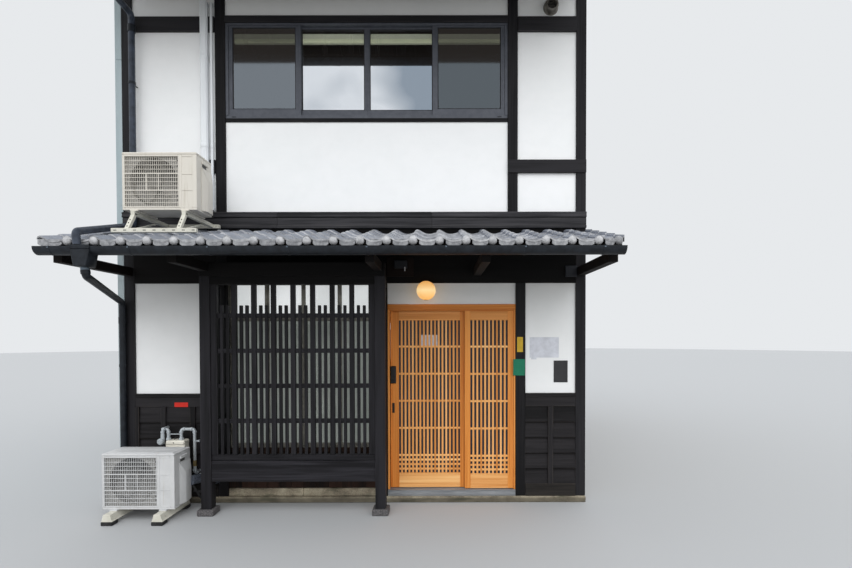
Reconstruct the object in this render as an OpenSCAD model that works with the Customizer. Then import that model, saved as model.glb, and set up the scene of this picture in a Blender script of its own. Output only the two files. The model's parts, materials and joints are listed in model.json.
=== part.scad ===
// Machiya townhouse: two timber-framed storeys on a narrow plot, one house of a row.
// Millimetres. +Z is up, the street front faces -Y, and +X is to the right seen from the street.
// The origin is on the ground, in line with the outer face of the front posts, midway along the front.

/* [House] */
// Width over the outer faces of the two end posts
house_w = 4670; // [4400:10:5200]
// Depth from the front posts' outer face to the back posts' outer face
house_d = 6010; // [5200:10:7000]
// Side of the square timber posts
post_w = 100; // [90:2:120]
// Thickness of the ground slab that the frame stands on
slab_h = 60; // [40:5:80]
// How far the ground slab shows in front of the posts
slab_lip = 25; // [10:5:40]
// Thickness of the plaster panels
plaster_t = 70; // [50:5:75]
// How far the plaster face lies behind the posts' face
plaster_recess = 20; // [12:2:24]
// Thickness of the upper storey's floor
floor_t = 60; // [40:5:90]
// Thickness of the metal-clad layer on the left party wall
clad_t = 66; // [40:2:90]

/* [Front bays] */
// Post spacing of the left bay
left_bay_w = 935; // [900:5:1000]
// Post spacing of the lattice bay
lattice_bay_w = 1625; // [1500:5:1680]
// Post spacing of the entrance bay
door_bay_w = 1400; // [1340:5:1460]
// Spacing of the two posts beside the upper window
window_bay_w = 2945; // [2800:5:3000]

/* [Heights] */
// Underside of the beam over the ground storey's panels
head_z = 2226; // [2150:2:2300]
// Depth of that beam
head_beam_h = 334; // [300:2:360]
// Depth of the floor girder above it
girder_h = 378; // [340:2:400]
// Sill of the upper window above the floor girder
upper_sill_h = 913; // [800:1:1000]
// Height of the upper window
upper_window_h = 990; // [900:5:1040]
// Height of the beam over the upper window
header_h = 65; // [50:5:80]
// Plaster band between that beam and the wall plate
top_band_h = 394; // [340:2:440]
// Depth of the wall plate
plate_h = 120; // [90:5:140]

/* [Wainscot] */
// Top of the boards, where the rail starts
board_top_z = 974; // [900:2:1040]
// Height that one lapped board shows
board_pitch = 159; // [120:1:200]
// How far a board's lower edge stands proud of its upper edge
board_lap = 10; // [5:1:14]
// Height of the rail on the boards
rail_h = 96; // [80:2:120]
// Height of the cap on that rail
cap_h = 38; // [25:1:50]
// Width of the battens nailed over the boards
batten_w = 50; // [35:5:60]
// Distances of the left bay's battens from the left end post
left_battens = [62, 333, 630];

/* [Lattice bay] */
// How far the lattice bay's posts stand out from the front
bay_reach = 375; // [320:5:460]
// Side of the lattice bay's posts
bay_post_w = 98; // [90:2:110]
// Height of the stone under each of these posts
stone_h = 60; // [40:5:90]
// How far a stone shows around its post
stone_lip = 28; // [15:1:40]
// Underside of the beam on these posts
bay_beam_z = 2254; // [2150:2:2260]
// Depth of that beam
bay_beam_h = 131; // [110:1:150]
// Height of the rail under the beam
bay_head_h = 75; // [50:5:100]
// Underside of the deep sill board
sill_board_z = 318; // [250:2:400]
// Height of the sill board
sill_board_h = 199; // [150:1:260]
// Height of the lattice's bottom rail
sill_rail_h = 56; // [40:2:80]
// Width of the stiles beside the posts
stile_w = 60; // [40:5:80]
// Width of the thick bars
thick_bar_w = 43; // [35:1:50]
// Spacing of the thick bars
thick_pitch = 184.5; // [170:0.5:188]
// How many thick bars the front has
thick_count = 7; // [5:1:7]
// Width of the thin bars
thin_bar_w = 27; // [20:1:32]
// Spacing of the two thin bars in a gap
thin_pitch = 55; // [45:1:62]
// How far the thin bars end below the head rail
thin_drop = 196; // [120:2:240]
// Height of the lattice's cross rails
cross_h = 42; // [30:2:50]
// Spacing of the cross rails
cross_pitch = 332; // [300:2:340]
// Depth of the lattice bars, front to back
lattice_t = 45; // [35:1:55]

/* [Entrance] */
// Height of the threshold on the slab
threshold_h = 64; // [40:2:90]
// Clear height from the threshold to the lintel
door_clear_h = 1832; // [1780:2:1900]
// Height of the lintel
lintel_h = 57; // [40:1:80]
// Width of the door frame's jambs
jamb_w = 18; // [14:1:30]
// Width of the leaf that slides
leaf_w = 800; // [760:1:820]
// Thickness of both leaves
leaf_t = 30; // [26:1:32]
// How far the fixed leaf lies behind the posts' face
leaf_inset = 25; // [20:1:28]
// Gap between the two leaves
leaf_gap = 7; // [5:1:8]
// How far the fixed leaf laps the sliding leaf
leaf_lap = 40; // [15:1:50]
// Width of the sliding leaf's stiles
leaf_stile_w = 86; // [60:1:100]
// Width of the fixed leaf's stiles
fixed_stile_w = 58; // [45:1:70]
// Height of the leaves' top rail
leaf_top_h = 100; // [80:1:130]
// Height of the leaves' bottom rail
leaf_bottom_h = 150; // [110:2:180]
// Width of one slat in the leaves
slat_w = 22; // [16:1:24]
// Height of one cross bar in the leaves
bar_h = 20; // [14:1:24]
// Distances of the cross bars below the leaves' top rail
leaf_bars = [269, 548, 827, 1107, 1388, 1435, 1482, 1529];
// Height of the lock's lower edge over the leaf's foot
lock_z = 1075; // [1000:5:1150]
// Height of the lock
lock_h = 177; // [150:1:200]
// Width of the lock
lock_w = 58; // [50:1:70]
// Height of the pull's lower edge over the leaf's foot
pull_z = 770; // [700:5:850]
// Height of the pull
pull_h = 102; // [80:1:120]
// Width of the pull
pull_w = 24; // [20:1:30]
// Running clearance round the sliding leaf
leaf_clear = 6; // [5:1:8]

/* [Pent roof] */
// How far the tiles reach out from the front
pent_reach = 1030; // [950:10:1100]
// Slope of the pent roof in degrees
pent_angle = 15; // [13:0.5:16]
// Height of the boards' top where they meet the wall
pent_seat_z = 2717; // [2700:1:2730]
// Thickness of the tile layer
tile_t = 60; // [50:2:70]
// Width that one tile covers
tile_pitch = 213.7; // [200:0.1:225]
// Height of the tiles' rolls over their pans
roll_h = 25; // [15:1:30]
// Width of a roll at its foot
roll_w = 100; // [80:5:120]
// Distance from the pent roof's left end to its first roll
first_roll = 195; // [100:1:210]
// How far the eave tiles hang below the layer
tile_drop = 18; // [10:1:25]
// Thickness of the roof boards
board_t = 15; // [12:1:20]
// Depth of the rafters
rafter_h = 45; // [40:1:55]
// Width of the rafters
rafter_w = 40; // [30:1:60]
// How many rafters the pent roof has
rafter_count = 12; // [8:1:16]
// Distance of the arm over the entrance from the post left of it
door_arm_off = 960; // [800:10:1100]
// Depth of the arms that carry the eave purlin
arm_h = 85; // [70:1:95]
// Width of these arms
arm_w = 75; // [60:1:90]
// How far the arms reach out
arm_reach = 930; // [900:5:940]
// Width of the eave purlin
purlin_w = 90; // [70:1:110]

/* [Main roof] */
// How far the main eaves reach out, front and back
eave_reach = 900; // [750:10:1000]
// Slope of the main roof in degrees
main_angle = 21.8; // [18:0.2:26]
// Depth of rafters and boards together
main_roof_t = 105; // [80:5:130]
// Height of the ridge over the tiles
ridge_h = 190; // [120:10:260]
// Width of the ridge
ridge_w = 220; // [180:10:260]

/* [Rainwater] */
// Radius of the half-round gutters
gutter_r = 62; // [50:1:70]
// Thickness of the gutters' sheet
gutter_t = 3; // [2:0.5:5]
// Diameter of the lower downpipe
pipe_d = 60; // [45:1:70]
// Diameter of the upper downpipe
upper_pipe_d = 60; // [40:1:70]
// How far the pent roof's gutter reaches past the left and the right end
gutter_over = [15, -5];
// Distance from the left end post to the middle of the gutter's collector
collector_off = 310; // [250:1:360]

/* [Air conditioning] */
// Width of an outdoor unit
unit_w = 663; // [620:1:800]
// Depth of an outdoor unit
unit_d = 290; // [260:1:320]
// Height of an outdoor unit's case
unit_h = 514; // [480:1:560]
// Height of the blocks under the lower unit
block_h = 100; // [80:5:120]
// Spacing of a unit's two feet
foot_pitch = 450; // [400:5:480]
// Distance from the left end post to the middle of the unit on the ground
lower_unit_off = 385; // [370:1:430]
// How far the front of that unit stands out from the house
lower_unit_out = 520; // [480:5:560]
// Distance from the left end post to the middle of the unit on the pent roof
upper_unit_off = 654; // [600:1:760]
// How far the front of that unit stands out from the house
upper_unit_out = 600; // [560:5:640]
// Height of its case over the tiles' top at the wall
upper_unit_rise = 38; // [30:1:60]
// Reach of the stand's rails to the left and to the right of the unit's middle
stand_reach = [344, 389];
// Thickness of the stand's rails and legs
stand_tube = 36; // [25:1:40]
// Distance from the left end post to the middle of the gas meter
meter_off = 518; // [500:1:600]
// Distance from the left end post to the gas riser
riser_off = 699; // [680:1:740]

/* [Hidden] */

// Seating gap between round or sloping pieces and what carries them
seat = 0.3;
// Sides of a round shape
round_n = 48;

// Post positions along the front
half_w = house_w / 2;
end_x = half_w - post_w / 2;
window_post_x = -end_x + left_bay_w;
door_left_x = window_post_x + lattice_bay_w;
door_right_x = door_left_x + door_bay_w;
upper_right_x = window_post_x + window_bay_w;
inner_x = half_w - post_w;
back_y = house_d - post_w;

// Levels of the frame
girder_z = head_z + head_beam_h;
upper_z = girder_z + girder_h;
upper_sill_z = upper_z + upper_sill_h;
header_z = upper_sill_z + upper_window_h;
band_z = header_z + header_h;
plate_z = band_z + top_band_h;
eave_z = plate_z + plate_h;
floor_drop = 88;
floor_top_z = upper_z - floor_drop;

// Door levels and places
threshold_z = slab_h + threshold_h;
lintel_z = threshold_z + door_clear_h;
lintel_top_z = lintel_z + lintel_h;
opening_x0 = door_left_x + post_w / 2 + jamb_w;
opening_x1 = door_right_x - post_w / 2 - jamb_w;
fixed_y = leaf_inset;
sliding_y = fixed_y + leaf_t + leaf_gap;
leaf_z = threshold_z + leaf_clear;
leaf_h = door_clear_h - 2 * leaf_clear;
sliding_x0 = opening_x0 + leaf_clear;
sliding_x1 = sliding_x0 + leaf_w;
fixed_x0 = sliding_x1 - leaf_lap;
glass_t = 5;

// Panels
plaster_y = plaster_recess;
plaster_back_y = plaster_recess + plaster_t;
rail_z = board_top_z;
panel_z = board_top_z + rail_h + cap_h;

// Lattice bay
bay_front_y = -bay_reach;
bay_back_y = -bay_reach + bay_post_w;
bay_left_x = window_post_x;
bay_shift = 18;
bay_right_x = door_left_x + bay_shift;
bay_open_x0 = bay_left_x + bay_post_w / 2;
bay_open_x1 = bay_right_x - bay_post_w / 2;
lattice_inset = 12;
lattice_y = bay_front_y + lattice_inset;
lattice_z0 = sill_board_z + sill_board_h + sill_rail_h;
lattice_z1 = bay_beam_z - bay_head_h;
cross_drop = 293;
curb_h = 79;
curb_z = slab_h + curb_h;
dado_z = 552;

// Pent roof
pent_tan = tan(pent_angle);
fascia_inset = 45;
fascia_y = -pent_reach + fascia_inset;
fascia_t = 20;
fascia_drop = 12;
arm_z = bay_beam_z + bay_beam_h - arm_h;
arm_top_z = arm_z + arm_h;
purlin_inset = 165;
purlin_y0 = -pent_reach + purlin_inset;
door_arm_x = door_left_x + door_arm_off;

// Main roof
main_tan = tan(main_angle);
ridge_y = house_d / 2;
ridge_beam_w = 80;
main_fascia_y = -eave_reach + 30;
main_tile_over = 15;
main_roof_x0 = -half_w - clad_t - 10;

// Outdoor units
upper_unit_x = -end_x + upper_unit_off;
upper_unit_y = -upper_unit_out;
upper_unit_z = pent_seat_z + tile_t + upper_unit_rise;
lower_unit_x = -end_x + lower_unit_off;
lower_unit_y = -lower_unit_out;
unit_foot_h = 12;
unit_foot_w = 70;
valve_w = 42;
valve_end = 6;
meter_x = -end_x + meter_off;
riser_x = -end_x + riser_off;

// Height of the pent roof boards' top at depth y
function pent_z(y) = pent_seat_z + pent_tan * y;
// Height of the main roof's underside at depth y
function main_z(y) = eave_z + main_tan * min(y, house_d - y);

// A block between two corners
module block(x0, x1, y0, y1, z0, z1) {
    translate([x0, y0, z0]) cube([x1 - x0, y1 - y0, z1 - z0]);
}

// A side-view outline of [y, z] points, drawn out from x0 to x1
module drawn(x0, x1, points) {
    translate([x0, 0, 0]) rotate([90, 0, 90]) linear_extrude(x1 - x0) polygon(points);
}

// A post of square section standing at x, its face on the front line
module post(x, z0, z1) {
    block(x - post_w / 2, x + post_w / 2, 0, post_w, z0, z1);
}

// A round rod from point a to point b
module rod(a, b, d) {
    v = b - a;
    flat = norm([v[0], v[1]]);
    translate(a) rotate([0, atan2(flat, v[2]), atan2(v[1], v[0])])
        cylinder(h = norm(v), d = d, $fn = round_n);
}

// How far a pipe's socket stands out
socket_t = 5;

// A pipe through a list of points, with a wider socket at each bend
module pipe(points, d) {
    for (i = [0 : len(points) - 2]) rod(points[i], points[i + 1], d);
    for (i = [1 : len(points) - 2]) translate(points[i]) sphere(d = d + 2 * socket_t, $fn = round_n);
}

// Ground slab under the whole house, with the curb that shows under the window behind the lattice
module ground_slab() {
    color([0.60, 0.58, 0.54]) {
        block(-half_w - clad_t, half_w, -slab_lip, house_d, 0, slab_h);
        block(window_post_x + post_w / 2, door_left_x - post_w / 2, 10, post_w, slab_h + seat, curb_z);
    }
}

// Timber posts of the front: both ends and the window post run through both storeys
module front_posts() {
    color([0.15, 0.15, 0.16]) {
        for (x = [-end_x, window_post_x, end_x]) post(x, slab_h, plate_z);
        for (x = [door_left_x, door_right_x]) post(x, slab_h, head_z);
        post(upper_right_x, upper_z, plate_z);
    }
}

// Beams between the posts, over each front bay
module span_beams(z0, z1) {
    block(-inner_x, window_post_x - post_w / 2, 0, post_w, z0, z1);
    block(window_post_x + post_w / 2, inner_x, 0, post_w, z0, z1);
}

// Beam over the ground storey, with the girder of the upper floor on it
module storey_beams() {
    color([0.14, 0.14, 0.16]) {
        span_beams(head_z, girder_z);
        span_beams(girder_z, upper_z);
    }
}

// How far the flashing boards' top rail stands out
flashing_t = 30;

// Boards on the girder above the pent roof: a strip, a wide board and a moulded rail
module flashing_boards() {
    strip_z = pent_seat_z + tile_t + seat;
    strip_h = 25;
    strip_t = 28;
    board_face = 18;
    groove_h = 7;
    groove_face = 12;
    moulding_z = upper_z - 53;
    color([0.20, 0.20, 0.21])
        drawn(-half_w, half_w, [[0, strip_z], [-strip_t, strip_z], [-strip_t, strip_z + strip_h],
            [-board_face, strip_z + strip_h], [-board_face, moulding_z - groove_h],
            [-groove_face, moulding_z - groove_h], [-groove_face, moulding_z],
            [-flashing_t, moulding_z], [-flashing_t, upper_z], [0, upper_z]]);
}

// How far the upper storey's beams stand out from the posts
face_beam_t = 12;

// A beam laid on the front between two posts: it laps their faces and fills in to the plaster
module face_beam(left_x, right_x, z0, z1, lap) {
    x0 = left_x + post_w / 2;
    x1 = right_x - post_w / 2;
    block(x0 - lap, x1 + lap, -face_beam_t, 0, z0, z1);
    block(x0, x1, 0, plaster_y, z0, z1);
}

// Beams of the upper storey: beside and over the window, across the right bay, and the wall plates
module upper_beams() {
    side_z0 = header_z - 93;
    side_z1 = header_z + 51;
    mid_z0 = upper_z + 398;
    mid_z1 = mid_z0 + 129;
    stub_x = window_post_x - post_w / 2;
    stub_w = 115;
    color([0.16, 0.16, 0.17]) {
        face_beam(-end_x, window_post_x, side_z0, side_z1, 0);
        block(stub_x - stub_w, stub_x, -face_beam_t, plaster_y, mid_z0, mid_z1);
        block(window_post_x + post_w / 2, upper_right_x - post_w / 2, -face_beam_t / 2, post_w, header_z, band_z);
        face_beam(upper_right_x, end_x, side_z0, side_z1, 0);
        face_beam(upper_right_x, end_x, mid_z0, mid_z1, post_w);
        block(-half_w, half_w, 0, post_w, plate_z, eave_z);
        block(-half_w, half_w, back_y, house_d, plate_z, eave_z);
    }
}

// Metal-clad layer on the left party wall, up to the roof boards
module side_cladding() {
    color([0.66, 0.71, 0.73])
        drawn(-half_w - clad_t, -half_w, [[0, slab_h], [house_d, slab_h], [house_d, eave_z - seat],
            [ridge_y, main_z(ridge_y) - seat], [0, eave_z - seat]]);
}

// A plaster panel between two front posts
module plaster(left_x, right_x, z0, z1) {
    block(left_x + post_w / 2, right_x - post_w / 2, plaster_y, plaster_back_y, z0, z1);
}

// Plaster of the ground storey: left bay, right bay and over the door
module lower_plaster() {
    color([0.93, 0.94, 0.94]) {
        plaster(-end_x, window_post_x, panel_z, head_z);
        plaster(door_right_x, end_x, panel_z, head_z);
        plaster(door_left_x, door_right_x, lintel_top_z, head_z);
    }
}

// Plaster of the upper storey
module upper_plaster() {
    color([0.93, 0.94, 0.94]) {
        plaster(-end_x, window_post_x, upper_z, plate_z);
        plaster(upper_right_x, end_x, upper_z, plate_z);
        plaster(window_post_x, upper_right_x, upper_z, upper_sill_z);
        plaster(window_post_x, upper_right_x, band_z, plate_z);
    }
}

// Lapped boards with a rail and a cap on them, and battens over the boards
module board_wall(left_x, right_x, batten_places) {
    x0 = left_x + post_w / 2;
    x1 = right_x - post_w / 2;
    face_y = 14;
    rail_y = 2;
    cap_y = -8;
    batten_y = -10;
    rows = ceil((board_top_z - slab_h) / board_pitch);
    steps = [for (i = [0 : rows - 1]) each [
        [face_y, board_top_z - i * board_pitch],
        [face_y - board_lap, max(slab_h, board_top_z - (i + 1) * board_pitch)]]];
    union() {
        drawn(x0, x1, concat([[plaster_back_y, board_top_z]], steps, [[plaster_back_y, slab_h]]));
        block(x0, x1, rail_y, plaster_back_y, rail_z, rail_z + rail_h);
        block(x0, x1, cap_y, plaster_back_y, rail_z + rail_h, panel_z);
        for (x = batten_places)
            block(max(x0, x - batten_w / 2), x + batten_w / 2, batten_y, plaster_back_y, slab_h, rail_z);
    }
}

// Black boarded wainscot of the left and right bays
module wainscot() {
    color([0.17, 0.17, 0.18]) {
        board_wall(-end_x, window_post_x, [for (off = left_battens) -end_x + off]);
        board_wall(door_right_x, end_x, [(door_right_x + end_x) / 2]);
    }
}

// A window frame with upright panes: the panes' left and right edges are given in pairs
module pane_frame(x0, x1, y0, y1, z0, z1, panes, pane_z0, pane_z1) {
    difference() {
        block(x0, x1, y0, y1, z0, z1);
        for (p = panes) block(p[0], p[1], y0 - 1, y1 + 1, pane_z0, pane_z1);
    }
}

// Pane edges of a window: equal panes between jambs, with a bar of width bar_w between two panes
function panes(x0, x1, jamb, bar_w, count) =
    let (w = (x1 - x0 - 2 * jamb - (count - 1) * bar_w) / count)
    [for (i = [0 : count - 1]) [x0 + jamb + i * (w + bar_w), x0 + jamb + i * (w + bar_w) + w]];

upper_x0 = window_post_x + post_w / 2;
upper_x1 = upper_right_x - post_w / 2;
upper_y0 = 12;
upper_y1 = 92;
upper_jamb = 68;
upper_stile = 52;
upper_pane_count = 4;
upper_panes = panes(upper_x0, upper_x1, upper_jamb, upper_stile, upper_pane_count);
upper_pane_z0 = upper_sill_z + 114;
upper_pane_z1 = header_z - 74;

bay_x0 = window_post_x + post_w / 2;
bay_x1 = door_left_x - post_w / 2;
bay_window_y0 = 30;
bay_window_y1 = 80;
bay_rail = 45;
bay_pane_count = 4;
bay_panes = panes(bay_x0, bay_x1, bay_rail, bay_rail, bay_pane_count);
bay_transom_z = head_z - 360;
bay_pane_z0 = dado_z + bay_rail;
bay_pane_z1 = head_z - bay_rail;

// Frame of the window behind the lattice: a row of lower sashes and a row of transom lights
module bay_window_frame() {
    color([0.72, 0.70, 0.64]) difference() {
        pane_frame(bay_x0, bay_x1, bay_window_y0, bay_window_y1, dado_z, head_z, bay_panes,
            bay_pane_z0, bay_transom_z - bay_rail / 2);
        for (p = bay_panes)
            block(p[0], p[1], bay_window_y0 - 1, bay_window_y1 + 1, bay_transom_z + bay_rail / 2,
                bay_pane_z1);
    }
}

back_x0 = -850;
back_x1 = 850;
back_lower_z0 = panel_z;
back_lower_z1 = head_z - 200;
back_window_y0 = back_y + 20;
back_window_y1 = back_y + 80;
back_rail = 60;
back_panes = panes(back_x0, back_x1, back_rail, back_rail, 2);

// Aluminium frames: the upper window with its four sashes shut, and the two back windows
module window_frames() {
    color([0.25, 0.26, 0.29]) {
        pane_frame(upper_x0, upper_x1, upper_y0, upper_y1, upper_sill_z, header_z, upper_panes,
            upper_pane_z0, upper_pane_z1);
        pane_frame(back_x0, back_x1, back_window_y0, back_window_y1, back_lower_z0, back_lower_z1,
            back_panes, back_lower_z0 + back_rail, back_lower_z1 - back_rail);
        pane_frame(back_x0, back_x1, back_window_y0, back_window_y1, upper_sill_z, header_z,
            back_panes, upper_sill_z + back_rail, header_z - back_rail);
    }
}

upper_glass_y = (upper_y0 + upper_y1) / 2;
bay_glass_y = (bay_window_y0 + bay_window_y1) / 2;
back_glass_y = (back_window_y0 + back_window_y1) / 2;

// Sheets of glass in one row of panes
module pane_row(list, y, z0, z1) {
    for (p = list) block(p[0], p[1], y, y + glass_t, z0, z1);
}

// Glass of the upper, bay and back windows
module window_glass() {
    color([0.55, 0.62, 0.66, 0.5]) {
        pane_row(upper_panes, upper_glass_y, upper_pane_z0, upper_pane_z1);
        pane_row(bay_panes, bay_glass_y, bay_pane_z0, bay_transom_z - bay_rail / 2);
        pane_row(bay_panes, bay_glass_y, bay_transom_z + bay_rail / 2, bay_pane_z1);
        pane_row(back_panes, back_glass_y, back_lower_z0 + back_rail, back_lower_z1 - back_rail);
        pane_row(back_panes, back_glass_y, upper_sill_z + back_rail, header_z - back_rail);
    }
}

// Boarded panel under the bay window
module bay_dado() {
    color([0.30, 0.22, 0.16])
        block(bay_x0, bay_x1, bay_window_y0 - 5, bay_window_y1 + 5, curb_z, dado_z);
}

// Posts of the lattice bay
module bay_posts() {
    color([0.13, 0.13, 0.15])
        for (x = [bay_left_x, bay_right_x])
            block(x - bay_post_w / 2, x + bay_post_w / 2, bay_front_y, bay_back_y, stone_h, bay_beam_z);
}

// Footing stones under these posts, with chamfered tops
module bay_stones() {
    side = bay_post_w + 2 * stone_lip;
    chamfer = 12;
    color([0.45, 0.42, 0.40])
        for (x = [bay_left_x, bay_right_x])
            translate([x, (bay_front_y + bay_back_y) / 2, 0])
                intersection() {
                    translate([-side / 2, -side / 2, 0]) cube([side, side, stone_h]);
                    translate([0, side / 2 + 1, 0]) rotate([90, 0, 0]) linear_extrude(side + 2)
                        polygon([[-side / 2, 0], [side / 2, 0], [side / 2, stone_h - chamfer],
                            [side / 2 - chamfer, stone_h], [chamfer - side / 2, stone_h],
                            [-side / 2, stone_h - chamfer]]);
                }
}

// Width of the bay's side rails
side_rail_w = 60;

// Beam on the bay posts with the head rails under it
module bay_head() {
    color([0.12, 0.13, 0.16]) {
        block(bay_left_x - bay_post_w / 2, bay_right_x + bay_post_w / 2, bay_front_y, bay_back_y,
            bay_beam_z, bay_beam_z + bay_beam_h);
        block(bay_open_x0, bay_open_x1, lattice_y - lattice_inset / 2, bay_back_y, lattice_z1, bay_beam_z);
        for (x = [bay_left_x, bay_right_x])
            block(x - side_rail_w / 2, x + side_rail_w / 2, bay_back_y, 0, lattice_z1, bay_beam_z);
    }
}

// Deep boards under the lattice, front and sides
module bay_sill_boards() {
    z1 = sill_board_z + sill_board_h;
    side_board_w = 40;
    rail_over = 8;
    color([0.14, 0.14, 0.16]) {
        union() {
            block(bay_open_x0, bay_open_x1, lattice_y - rail_over / 2, lattice_y + lattice_t - rail_over,
                sill_board_z, z1);
            block(bay_open_x0, bay_open_x1, lattice_y - rail_over, lattice_y + lattice_t + rail_over,
                z1, lattice_z0);
        }
        for (x = [bay_left_x, bay_right_x])
            block(x - side_board_w / 2, x + side_board_w / 2, bay_back_y, 0, sill_board_z, lattice_z0);
    }
}

// How far the thin bars lie behind the thick ones, and the number of cross rails
thin_inset = 4;
cross_count = 4;

// Front lattice: stiles, thick bars of full height, two short thin bars a gap, and cross rails
module bay_front_lattice() {
    mid_x = (bay_open_x0 + bay_open_x1) / 2;
    y1 = lattice_y + lattice_t;
    first_x = mid_x - (thick_count - 1) / 2 * thick_pitch;
    end_gap = (first_x - bay_open_x0 - stile_w - thick_bar_w / 2) / 2 + thick_bar_w / 2;
    gap_mids = concat([first_x - end_gap],
        [for (i = [0 : thick_count - 2]) first_x + (i + 0.5) * thick_pitch],
        [first_x + (thick_count - 1) * thick_pitch + end_gap]);
    color([0.16, 0.16, 0.17]) union() {
        block(bay_open_x0, bay_open_x0 + stile_w, lattice_y, y1, lattice_z0, lattice_z1);
        block(bay_open_x1 - stile_w, bay_open_x1, lattice_y, y1, lattice_z0, lattice_z1);
        for (i = [0 : thick_count - 1])
            block(first_x + i * thick_pitch - thick_bar_w / 2, first_x + i * thick_pitch + thick_bar_w / 2,
                lattice_y, y1, lattice_z0, lattice_z1);
        for (x = gap_mids, s = [-0.5, 0.5])
            block(x + s * thin_pitch - thin_bar_w / 2, x + s * thin_pitch + thin_bar_w / 2,
                lattice_y + thin_inset, y1 - 2 * thin_inset, lattice_z0, lattice_z1 - thin_drop);
        for (i = [0 : cross_count - 1])
            block(bay_open_x0 + stile_w, bay_open_x1 - stile_w, lattice_y + 3 * thin_inset, y1 - thin_inset,
                lattice_z1 - cross_drop - i * cross_pitch - cross_h / 2,
                lattice_z1 - cross_drop - i * cross_pitch + cross_h / 2);
    }
}

// Side lattices of the bay, between its posts and the house
module bay_side_lattices() {
    gap = -bay_back_y / 4;
    bar_t = 36;
    rail_t = 20;
    color([0.16, 0.16, 0.17])
        for (x = [bay_left_x, bay_right_x]) union() {
            for (i = [1 : 3])
                block(x - bar_t / 2, x + bar_t / 2, bay_back_y + gap * i - thin_bar_w / 2,
                    bay_back_y + gap * i + thin_bar_w / 2, lattice_z0, lattice_z1);
            for (i = [0 : cross_count - 1])
                block(x - rail_t / 2, x + rail_t / 2, bay_back_y, 0,
                    lattice_z1 - cross_drop - i * cross_pitch - cross_h / 2,
                    lattice_z1 - cross_drop - i * cross_pitch + cross_h / 2);
        }
}

// Wooden lintel and jambs of the entrance
module door_frame() {
    x0 = opening_x0 - jamb_w;
    x1 = opening_x1 + jamb_w;
    color([0.80, 0.55, 0.30]) {
        block(x0, x1, 4, post_w, lintel_z, lintel_top_z);
        block(x0, opening_x0, 10, post_w, threshold_z, lintel_z - seat);
        block(opening_x1, x1, 10, post_w, threshold_z, lintel_z - seat);
    }
}

// Aluminium threshold with one rail for each leaf
module door_threshold() {
    rail_top_z = leaf_z - seat;
    color([0.52, 0.53, 0.55]) union() {
        block(opening_x0 - jamb_w, opening_x1 + jamb_w, 0, post_w, slab_h, threshold_z);
        for (y = [fixed_y, sliding_y])
            block(opening_x0, opening_x1, y + leaf_t / 2 - 2, y + leaf_t / 2 + 2, threshold_z, rail_top_z);
    }
}

// One door leaf: stiles, rails, upright slats and cross bars, the lowest four set close
module leaf(x0, x1, y0, stile) {
    z1 = leaf_z + leaf_h;
    open_x0 = x0 + stile;
    open_x1 = x1 - stile;
    open_z0 = leaf_z + leaf_bottom_h;
    open_z1 = z1 - leaf_top_h;
    count = round((open_x1 - open_x0 - 17) / (slat_w + 17));
    pitch = (open_x1 - open_x0 - count * slat_w) / (count + 1) + slat_w;
    union() {
        block(x0, open_x0, y0, y0 + leaf_t, leaf_z, z1);
        block(open_x1, x1, y0, y0 + leaf_t, leaf_z, z1);
        block(open_x0, open_x1, y0, y0 + leaf_t, leaf_z, open_z0);
        block(open_x0, open_x1, y0, y0 + leaf_t, open_z1, z1);
        for (i = [0 : count - 1])
            block(open_x0 + pitch - slat_w + i * pitch, open_x0 + pitch + i * pitch,
                y0 + 2, y0 + 16, open_z0, open_z1);
        for (d = leaf_bars)
            if (open_z1 - d - bar_h / 2 > open_z0)
                block(open_x0, open_x1, y0 + 3, y0 + 15, open_z1 - d - bar_h / 2, open_z1 - d + bar_h / 2);
    }
}

// Glass behind the slats of one leaf
module leaf_glass(x0, x1, y0, stile) {
    block(x0 + stile, x1 - stile, y0 + 18, y0 + 18 + glass_t, leaf_z + leaf_bottom_h,
        leaf_z + leaf_h - leaf_top_h);
}

// Left leaf, which slides to the right on the inner rail
module sliding_leaf() {
    color([0.80, 0.54, 0.28]) leaf(sliding_x0, sliding_x1, sliding_y, leaf_stile_w);
}

module sliding_leaf_glass() {
    color([0.30, 0.33, 0.32, 0.6]) leaf_glass(sliding_x0, sliding_x1, sliding_y, leaf_stile_w);
}

// Keypad lock on the sliding leaf's outer stile, and the recessed pull below it
module door_lock() {
    lock_x = sliding_x0 + lock_w / 2;
    lock_t = 22;
    pull_t = 3;
    color([0.10, 0.10, 0.11]) {
        block(lock_x - lock_w / 2, lock_x + lock_w / 2, sliding_y - lock_t, sliding_y,
            leaf_z + lock_z, leaf_z + lock_z + lock_h);
        block(lock_x - pull_w / 2, lock_x + pull_w / 2, sliding_y - pull_t, sliding_y,
            leaf_z + pull_z, leaf_z + pull_z + pull_h);
    }
}

// Right leaf, which stays in place on the outer rail
module fixed_leaf() {
    color([0.80, 0.54, 0.28]) leaf(fixed_x0, opening_x1, fixed_y, fixed_stile_w);
}

module fixed_leaf_glass() {
    color([0.30, 0.33, 0.32, 0.6]) leaf_glass(fixed_x0, opening_x1, fixed_y, fixed_stile_w);
}

// Arms out of the wall, and the purlin that they carry
module pent_roof_arms() {
    color([0.22, 0.15, 0.12]) {
        for (x = [-end_x, door_arm_x, end_x])
            block(x - arm_w / 2, x + arm_w / 2, -arm_reach, 0, arm_z, arm_top_z);
        for (x = [bay_left_x, door_left_x]) {
            block(x - arm_w / 2, x + arm_w / 2, -arm_reach, bay_front_y, arm_z, arm_top_z);
            block(x - arm_w / 2, x + arm_w / 2, bay_back_y, 0, arm_z, arm_top_z);
        }
        drawn(-half_w, half_w, [[purlin_y0, arm_top_z + seat], [purlin_y0 + purlin_w, arm_top_z + seat],
            [purlin_y0 + purlin_w, pent_z(purlin_y0 + purlin_w) - board_t - rafter_h],
            [purlin_y0, pent_z(purlin_y0) - board_t - rafter_h]]);
    }
}

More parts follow.
